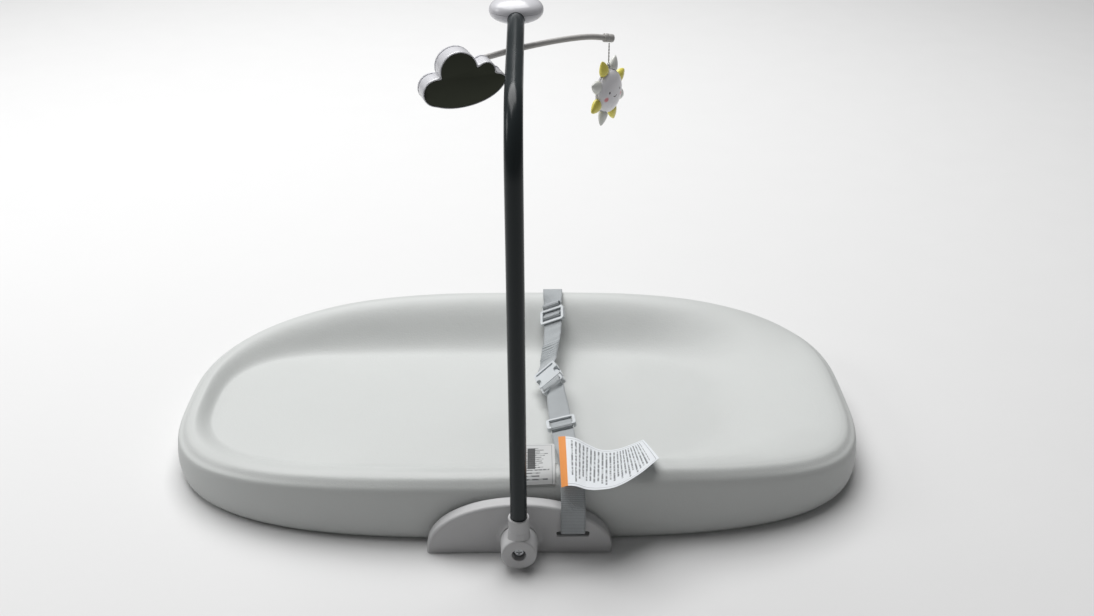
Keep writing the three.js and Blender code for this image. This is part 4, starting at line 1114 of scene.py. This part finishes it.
# Stations along each half of the belt: the place of its middle, and its roll in degrees.
REAR_BELT = (
    (53.6, 0.4, 1.8, 0), (50, 100, 1.8, 0), (46.4, 198, 1.8, 0), (46, 210, 3, 0), (46, 215.2, 9, 0),
    (46, 215.4, 24, 0), (46, 215, 48, 0), (46, 213, 66, 0), (46, 209, 79, 0), (46, 202, 85.6, 0),
    (46, 192.5, 87.6, 3), (46, 184, 87.2, 8), (45.9, 172, 82.8, 25), (45.6, 150, 73.8, 28),
    (45.3, 128, 64.8, 28), (43, 98, 58.5, 34), (39.5, 66, 57.2, 37), (35.6, 46.4, 58, 38),
)
FRONT_BELT = (
    (53.8, -0.4, 1.8, 0), (57, -100, 1.8, 0), (61.2, -206, 1.8, 0), (61.4, -214.6, 3.4, 0),
    (61.4, -216.8, 9, 0), (61.4, -216.9, 17, 0), (61.4, -217.7, 21.6, 0), (61.4, -219.8, 24.8, 0),
    (61.4, -224, 25.6, 0), (61.4, -229, 25.6, 0), (61.4, -231.9, 26.4, 0), (61.4, -233.3, 28.8, 0),
    (61.4, -233.4, 36, 0), (61.4, -233.4, 50, 0), (61.4, -232.2, 59.4, 0), (61.2, -225, 70, 0),
    (61.1, -216.4, 78, 0), (61, -209, 82.6, 0), (60.6, -199, 85.6, 0), (60, -188, 85.2, -2),
    (58.4, -166, 79.6, -5), (55, -130, 70.8, -10), (53.4, -104, 66, -12), (52, -84, 63.2, -12),
    (50.6, -64, 60.4, -13), (49.2, -44, 58.8, -20), (47, -16, 58.2, -34), (46.4, -4.4, 58.2, -38),
)


def strap_frames(stations, count):
    """Evenly spaced frames along a strap, in millimetres.

    Each is the strap's middle, its directions across and up, and its length so far.
    """
    line = [Vector(station[:3]) for station in stations]
    rolls = [Vector((i, station[3], 0)) for i, station in enumerate(stations)]
    fine = 600
    points = [along(line, i / fine) for i in range(fine + 1)]
    lengths = running_lengths(points)
    frames, i = [], 0
    for k in range(count + 1):
        target = lengths[-1] * k / count
        while i < fine - 1 and lengths[i + 1] < target:
            i += 1
        share = (i + (target - lengths[i]) / max(lengths[i + 1] - lengths[i], 1e-9)) / fine
        tangent = (along(line, share + 1e-4) - along(line, share - 1e-4)).normalized()
        across = Vector((1, 0, 0)) - tangent * tangent.x
        across = Matrix.Rotation(math.radians(along(rolls, share).y), 3, tangent) @ across.normalized()
        frames.append((along(line, share), across, tangent.cross(across), target))
    return frames


def running_lengths(points):
    """The length of a line up to each of its points."""
    return [0.0, *accumulate((b - a).length for a, b in zip(points, points[1:]))]


def cloth_grid(name, columns, width, runs, thickness, place):
    """A sheet of cloth. place(u, row) gives each corner in millimetres, and runs holds the length up to each row.

    Its map has metres across in u and metres along in v.
    """
    rest()
    rows = len(runs) - 1
    bpy.ops.mesh.primitive_grid_add(x_subdivisions=columns, y_subdivisions=rows, size=1)
    cloth = named(name)
    spots = [(corner.co.x + 0.5, round((corner.co.y + 0.5) * rows)) for corner in cloth.data.vertices]
    layer = cloth.data.uv_layers.active or cloth.data.uv_layers.new(name="UVMap")
    layer.name = "UVMap"
    for loop in cloth.data.loops:
        u, row = spots[loop.vertex_index]
        layer.data[loop.index].uv = (u * width / 1000, runs[row] / 1000)
    for corner, (u, row) in zip(cloth.data.vertices, spots):
        corner.co = mm(*place(u, row))
    return modify(cloth, "SOLIDIFY", thickness=thickness, offset=0)


def woven_strip(name, frames, width, thickness, wave=None):
    """Webbing laid along the frames."""
    def place(u, row):
        middle, across, up, run = frames[row]
        return middle + across * (u - 0.5) * width + up * (wave(u, run) if wave else 0.0)

    strip = cloth_grid(name, 12, width, [frame[3] for frame in frames], thickness, place)
    modify(strip, "BEVEL", width=thickness * 0.3, segments=2, limit_method="ANGLE", angle_limit=math.radians(60))
    return smooth(strip, 60)


def ripple(run, start, end, wavelength, height):
    """Soft upward ripples between two places along a strap."""
    inside = smooth_step(start, start + 8, run) * (1 - smooth_step(end - 8, end, run))
    return inside * height * 0.5 * (1 - math.cos((run - start) / wavelength * FULL_TURN))


def over_plug():
    """The stations that take the front strap up and over the plug, down to the edge of the socket."""
    spots = ((-25.9, 3.4), (-23.6, 4.9), (-20, 5.1), (-16.4, 4.9), (-14.4, 3.6))
    return tuple((*(BUCKLE_PLACE @ mm(0, y, z) * 1000), -38) for y, z in spots)


def build_belt(context):
    chosen = context.scene.belt
    rear = strap_frames(REAR_BELT, 520)
    front = strap_frames(FRONT_BELT + over_plug(), 480)
    rear_run, front_run = rear[-1][3], front[-1][3]

    def rear_wave(u, run):
        crumple = ripple(run, rear_run - 62, rear_run - 16, 5.6, 2.9)
        slack = ripple(run, rear_run - 92, rear_run - 58, 17, 1.0)
        return crumple * (0.75 + 0.25 * math.sin(5 * u + 1)) + slack * u

    def front_wave(u, run):
        return ripple(run, front_run - 96, front_run - 40, 25, 0.7) * (1 - u)

    for name, frames, wave, node in (("belt_rear_webbing", rear, rear_wave, "belt_rear"),
                                     ("belt_front_webbing", front, front_wave, "belt_front")):
        strip = woven_strip(name, frames, BELT_WIDTH, chosen.webbing_thickness, wave)
        ride(strip, "base", "webbing", webbing_material(chosen), node)
        round(frames[-1][3] / 1000, 3)


def webbing_fold(name, place, y, radius, lift, body, context):
    """The roll of webbing that shows where the belt turns back over a slider's bar."""
    steps, start, sweep, width = 26, math.radians(-60), math.radians(300), BELT_WIDTH - 1.6
    frames = []
    for i in range(steps + 1):
        angle = start + sweep * i / steps
        up = Vector((0, math.cos(angle), math.sin(angle)))
        middle = Vector((0, y, lift)) + radius * up
        frames.append((middle, Vector((1, 0, 0)), up, radius * sweep * i / steps))
    chosen = context.scene.belt
    fold = woven_strip(name, frames, width, chosen.webbing_thickness * 0.8)
    settle(fold, place)
    ride(fold, body, "webbing", webbing_material(chosen))
    round(frames[-1][3] / 1000, 4)


# ---------- the sliders and the buckle ----------
def upright(edge):
    return abs((edge.verts[0].co - edge.verts[1].co).normalized().z) > 0.9


def slider_frame(name, place):
    """A rounded frame with a bar under the webbing, from a grid whose middle cell is taken out."""
    half_width, half_length, rail, bar = 16.8, 11.3, 3.3, 3.5
    rest()
    bpy.ops.mesh.primitive_grid_add(x_subdivisions=3, y_subdivisions=3, size=1)
    slider = named(name)
    for corner in slider.data.vertices:
        x, y = corner.co.x, corner.co.y
        corner.co.x = math.copysign(half_width if abs(x) > 0.3 else half_width - rail, x) / 1000
        corner.co.y = math.copysign(half_length if abs(y) > 0.3 else half_length - bar, y) / 1000
        corner.co.z = 0.0017
    bpy.ops.object.mode_set(mode="EDIT")
    pick("FACE", lambda face: face.calc_center_median().xy.length < 0.002)
    bpy.ops.mesh.delete(type="FACE")
    bpy.ops.mesh.select_all(action="SELECT")
    extrude(0, 0, 2)
    face_outwards()
    inner_x, outer_x, outer_y = (half_width - rail) / 1000, (half_width - 0.1) / 1000, (half_length - 0.1) / 1000
    pick("FACE", lambda face: face.normal.z < -0.9 and abs(face.calc_center_median().x) > inner_x)
    extrude(0, 0, -3.6)
    pick("EDGE", lambda edge: upright(edge)
         and abs(edge.verts[0].co.x) > outer_x and abs(edge.verts[0].co.y) > outer_y)
    bpy.ops.mesh.bevel(offset=0.0038, segments=6, affect="EDGES")
    rest()
    middle_bar = block("middle_bar", (33, 3.2, 2), placed(0, 0, -2.7))
    slider = joined(name, slider, middle_bar)
    soften(slider, 0.0007, 3, 40)
    return settle(slider, place)


def build_sliders(context):
    for name, place, node in (("slider_rear_frame", REAR_SLIDER_PLACE, "slider_rear"),
                              ("slider_front_frame", FRONT_SLIDER_PLACE, "slider_front")):
        ride(slider_frame(name, place), node, "belt_plastic", belt_moulding(context), node)
    webbing_fold("webbing_fold_rear_top", REAR_SLIDER_PLACE, 15.6, 3.4, 3.2, "slider_rear", context)
    webbing_fold("webbing_fold_rear_window", REAR_SLIDER_PLACE, -1.6, 2.9, 1.6, "slider_rear", context)
    webbing_fold("webbing_fold_front_foot", FRONT_SLIDER_PLACE, -13.9, 2.8, 2.8, "slider_front", context)


def rounded_slab(name, size, corner, place):
    """A cube primitive with rounded upright corners."""
    slab = block(name, size, Matrix.Identity(4))
    bpy.ops.object.mode_set(mode="EDIT")
    pick("EDGE", upright)
    bpy.ops.mesh.bevel(offset=corner / 1000, segments=6, affect="EDGES")
    rest()
    return settle(slab, place)


def build_buckle(context):
    """The socket with its mouth, side windows and belt slot, and the plug with its slot and tongue."""
    body = rounded_slab("buckle_socket_body", (32, 30, 9), 3, placed(0, 2, 0))
    mouth = block("mouth", (24.6, 22, 5), placed(0, -7, 0))
    rear_slot = rounded_slab("rear_slot", (26.4, 3.4, 20), 1.4, placed(0, 12.2, 0))
    windows = [rounded_slab("window", (7, 11, 11), 3.2, placed(side * 14, -2.2, 2.4)) for side in (-1, 1)]
    combine(body, mouth, rear_slot, *windows)
    soften(body, 0.0007, 3, 40)
    settle(body, BUCKLE_PLACE)
    ride(body, "base", "belt_plastic", belt_moulding(context), "buckle_socket")
    plug = rounded_slab("buckle_plug_body", (31, 11.4, 8), 2.4, placed(0, -19.2, 0))
    guide = block("guide", (24, 5, 4.2), placed(0, -12.3, 0))
    tongue = rounded_slab("tongue", (5, 18, 3), 1.2, placed(0, -5.6, 0))
    combine(plug, guide, tongue, operation="UNION")
    combine(plug, rounded_slab("front_slot", (26.4, 3.2, 20), 1.3, placed(0, -20.6, 0)))
    soften(plug, 0.0006, 3, 40)
    settle(plug, BUCKLE_PLACE)
    ride(plug, "base", "belt_plastic", belt_moulding(context), "buckle_plug")
    keep(belt_moulding(context), "buckle_prong_left", "buckle_prong_right", edge=0.0004)


# ---------- the labels ----------
# Pairs of points along the two edges of each label, from its root to its tip.
LONG_LABEL = (
    ((47, -152, 94), (49, -228, 84)), ((55, -155, 96.5), (56, -231, 88.5)), ((66, -159, 97), (64, -234, 90)),
    ((79, -166, 93.5), (75, -238, 89)), ((92, -172, 91), (88, -240, 90)), ((108, -171, 90.5), (105, -237, 91.5)),
    ((124, -163, 90.5), (129, -220, 94)), ((139, -154, 91), (152, -196, 97)),
)
SHORT_LABEL = (
    ((0, -209, 71.5), (43, -209, 73.5)), ((0, -205.6, 76), (43, -205.6, 78)), ((0, -199.5, 79.4), (43, -199.5, 82)),
    ((0, -193, 81), (43, -193, 84)), ((0, -182, 81.4), (43, -182, 84)), ((0, -165, 81), (43, -165, 82.6)),
    ((0, -147, 80), (43, -147, 80.4)),
)


def label_sheet(name, stations, curl=None):
    """Cloth laid between the two edges of a label, with its flat size in metres."""
    rows = 60
    rear = [Vector(station[0]) for station in stations]
    front = [Vector(station[1]) for station in stations]
    runs = running_lengths([(along(rear, i / rows) + along(front, i / rows)) / 2 for i in range(rows + 1)])
    width = (rear[0] - front[0]).length

    def place(u, row):
        share = row / rows
        point = along(rear, share).lerp(along(front, share), u)
        point.z += curl(u, share) if curl else 0.0
        return point

    label = cloth_grid(name, 16, width, runs, 0.0003, place)
    return smooth(label, 60), width / 1000, runs[-1] / 1000


def build_labels(context):
    chosen = context.scene.belt

    def long_curl(u, share):
        return 1.2 * math.sin(math.pi * u) * (1 - 0.5 * share) - 0.6

    label, width, run = label_sheet("long_label_cloth", LONG_LABEL, long_curl)
    cloth = label_material("Long Label", chosen.label_colour, chosen.band_colour, width, run, 0.0085, 0.0042)
    ride(label, "base", "label_cloth", cloth, "long_label")
    tag, width, run = label_sheet("short_label_cloth", SHORT_LABEL)
    cloth = label_material("Short Label", (0.60, 0.61, 0.61), chosen.band_colour, width, run, 0.0, 0.0036,
                           (0.014, 0.022, 0.018, 0.056))
    ride(tag, "base", "label_cloth", cloth, "short_label")


# ---------- the stage ----------
def build_camera(context):
    rest()
    bpy.ops.object.camera_add(
        location=(0.0246, -1.1939, 0.8267), rotation=(math.radians(90 - 28.8622), 0, math.radians(-0.5666)))
    camera = bpy.context.object
    camera.name = "Camera"
    camera.data.sensor_width = 36
    camera.data.lens = context.scene.stage.focal_length
    camera.data.clip_start, camera.data.clip_end = 0.01, 100
    context.scene.camera = camera


def area_light(name, place, aim, size, power):
    rest()
    bpy.ops.object.light_add(type="AREA", location=place)
    light = bpy.context.object
    light.name = name
    light.rotation_euler = (Vector(aim) - Vector(place)).to_track_quat("-Z", "Y").to_euler()
    light.data.shape = "RECTANGLE"
    light.data.size, light.data.size_y = size
    light.data.energy = power
    light.visible_camera = False


def build_stage(context):
    chosen = context.scene.stage
    rest()
    bpy.ops.mesh.primitive_plane_add(size=24, location=(0, 0, -0.0002))
    floor = settle(named("floor"))
    material = moulded("Floor", chosen.floor_colour, 0.8, 0.9, 60, 0.0001, 0.01)
    floor.data.materials.append(material)
    area_light("overhead key", (-0.5, 1.3, 3.1), (0, 0.45, 0), (3.0, 3.0), chosen.key_power)
    area_light("left glow", (-2.4, 0.2, 1.5), (-0.1, 0, 0.1), (0.9, 0.9), chosen.key_power * 0.07)
    world = bpy.data.worlds.new("World")
    world.use_nodes = True
    background = world.node_tree.nodes["Background"]
    background.inputs["Color"].default_value = (1, 1, 1, 1)
    background.inputs["Strength"].default_value = chosen.fill_strength
    context.scene.world = world
    context.scene.view_settings.view_transform = "Standard"


# ---------- the operators, in the order that main calls them ----------
class BuildOperator:
    """Runs the build steps of one piece, or of one group of pieces."""

    bl_options = {"REGISTER", "UNDO"}

    def execute(self, context):
        for step in self.steps:
            step(context)
        return {"FINISHED"}


class CHANGINGPAD_OT_camera(BuildOperator, bpy.types.Operator):
    """Add the camera"""

    bl_idname = "changing_pad.camera"
    bl_label = "Camera"
    steps = (build_camera,)


class CHANGINGPAD_OT_cord(BuildOperator, bpy.types.Operator):
    """Build the sun's twisted cord"""

    bl_idname = "changing_pad.cord"
    bl_label = "Sun Cord"
    steps = (build_cord,)


class CHANGINGPAD_OT_pad(BuildOperator, bpy.types.Operator):
    """Build the foam pad's skin and finish its grip feet"""

    bl_idname = "changing_pad.pad"
    bl_label = "Foam Pad"
    steps = (build_pad,)


class CHANGINGPAD_OT_bracket(BuildOperator, bpy.types.Operator):
    """Build the half-moon bracket with its boss, belt slot and tongue"""

    bl_idname = "changing_pad.bracket"
    bl_label = "Bracket"
    steps = (build_bracket,)


class CHANGINGPAD_OT_mast(BuildOperator, bpy.types.Operator):
    """Build the hub knuckle and the painted mast, and finish the pivot's fasteners"""

    bl_idname = "changing_pad.mast"
    bl_label = "Mast"
    steps = (build_knuckle, build_mast)


class CHANGINGPAD_OT_cap(BuildOperator, bpy.types.Operator):
    """Build the two halves of the cap and finish its screws"""

    bl_idname = "changing_pad.cap"
    bl_label = "Cap"
    steps = (build_cap,)


class CHANGINGPAD_OT_bar(BuildOperator, bpy.types.Operator):
    """Build the turning bar and its end sleeve"""

    bl_idname = "changing_pad.bar"
    bl_label = "Toy Bar"
    steps = (build_bar,)


class CHANGINGPAD_OT_cloud(BuildOperator, bpy.types.Operator):
    """Build the cloud's shell and mirror"""

    bl_idname = "changing_pad.cloud"
    bl_label = "Cloud Mirror"
    steps = (build_cloud,)


class CHANGINGPAD_OT_sun(BuildOperator, bpy.types.Operator):
    """Build the sun's domes and rays"""

    bl_idname = "changing_pad.sun"
    bl_label = "Sun"
    steps = (build_sun,)


class CHANGINGPAD_OT_belt(BuildOperator, bpy.types.Operator):
    """Build both halves of the woven belt"""

    bl_idname = "changing_pad.belt"
    bl_label = "Belt"
    steps = (build_belt,)


class CHANGINGPAD_OT_sliders(BuildOperator, bpy.types.Operator):
    """Build the two sliders with the webbing that turns back over them"""

    bl_idname = "changing_pad.sliders"
    bl_label = "Sliders"
    steps = (build_sliders,)


class CHANGINGPAD_OT_buckle(BuildOperator, bpy.types.Operator):
    """Build the side-release buckle"""

    bl_idname = "changing_pad.buckle"
    bl_label = "Buckle"
    steps = (build_buckle,)


class CHANGINGPAD_OT_labels(BuildOperator, bpy.types.Operator):
    """Build the two sewn labels"""

    bl_idname = "changing_pad.labels"
    bl_label = "Labels"
    steps = (build_labels,)


class CHANGINGPAD_OT_stage(BuildOperator, bpy.types.Operator):
    """Add the floor and the soft studio light"""

    bl_idname = "changing_pad.stage"
    bl_label = "Stage"
    steps = (build_stage,)


OPERATORS = (
    CHANGINGPAD_OT_camera, CHANGINGPAD_OT_cord, CHANGINGPAD_OT_pad, CHANGINGPAD_OT_bracket, CHANGINGPAD_OT_mast,
    CHANGINGPAD_OT_cap, CHANGINGPAD_OT_bar, CHANGINGPAD_OT_cloud, CHANGINGPAD_OT_sun, CHANGINGPAD_OT_belt,
    CHANGINGPAD_OT_sliders, CHANGINGPAD_OT_buckle, CHANGINGPAD_OT_labels, CHANGINGPAD_OT_stage,
)
GROUPS = {
    "pad": PadSettings, "arch": ArchSettings, "toys": ToySettings, "belt": BeltSettings, "stage": StageSettings,
}


class CHANGINGPAD_PT_panel(bpy.types.Panel):
    """The sizes, colours and build steps of the changing pad"""

    bl_label = "Changing Pad"
    bl_idname = "CHANGINGPAD_PT_panel"
    bl_space_type = "VIEW_3D"
    bl_region_type = "UI"
    bl_category = "Changing Pad"

    def draw(self, context):
        for name, group in GROUPS.items():
            box = self.layout.box()
            box.label(text=group.__doc__)
            for key in group.__annotations__:
                box.prop(getattr(context.scene, name), key)
        for operator in OPERATORS:
            self.layout.operator(operator.bl_idname)


def register():
    for group in GROUPS.values():
        bpy.utils.register_class(group)
    for name, group in GROUPS.items():
        setattr(bpy.types.Scene, name, bpy.props.PointerProperty(type=group))
    for operator in OPERATORS:
        bpy.utils.register_class(operator)
    bpy.utils.register_class(CHANGINGPAD_PT_panel)


def unregister():
    bpy.utils.unregister_class(CHANGINGPAD_PT_panel)
    for operator in reversed(OPERATORS):
        bpy.utils.unregister_class(operator)
    for name, group in GROUPS.items():
        delattr(bpy.types.Scene, name)
        bpy.utils.unregister_class(group)


def main():
    register()
    for operator in OPERATORS:
        name = operator.bl_idname.split(".")[1]
        getattr(bpy.ops.changing_pad, name)()


if __name__ == "__main__":
    main()
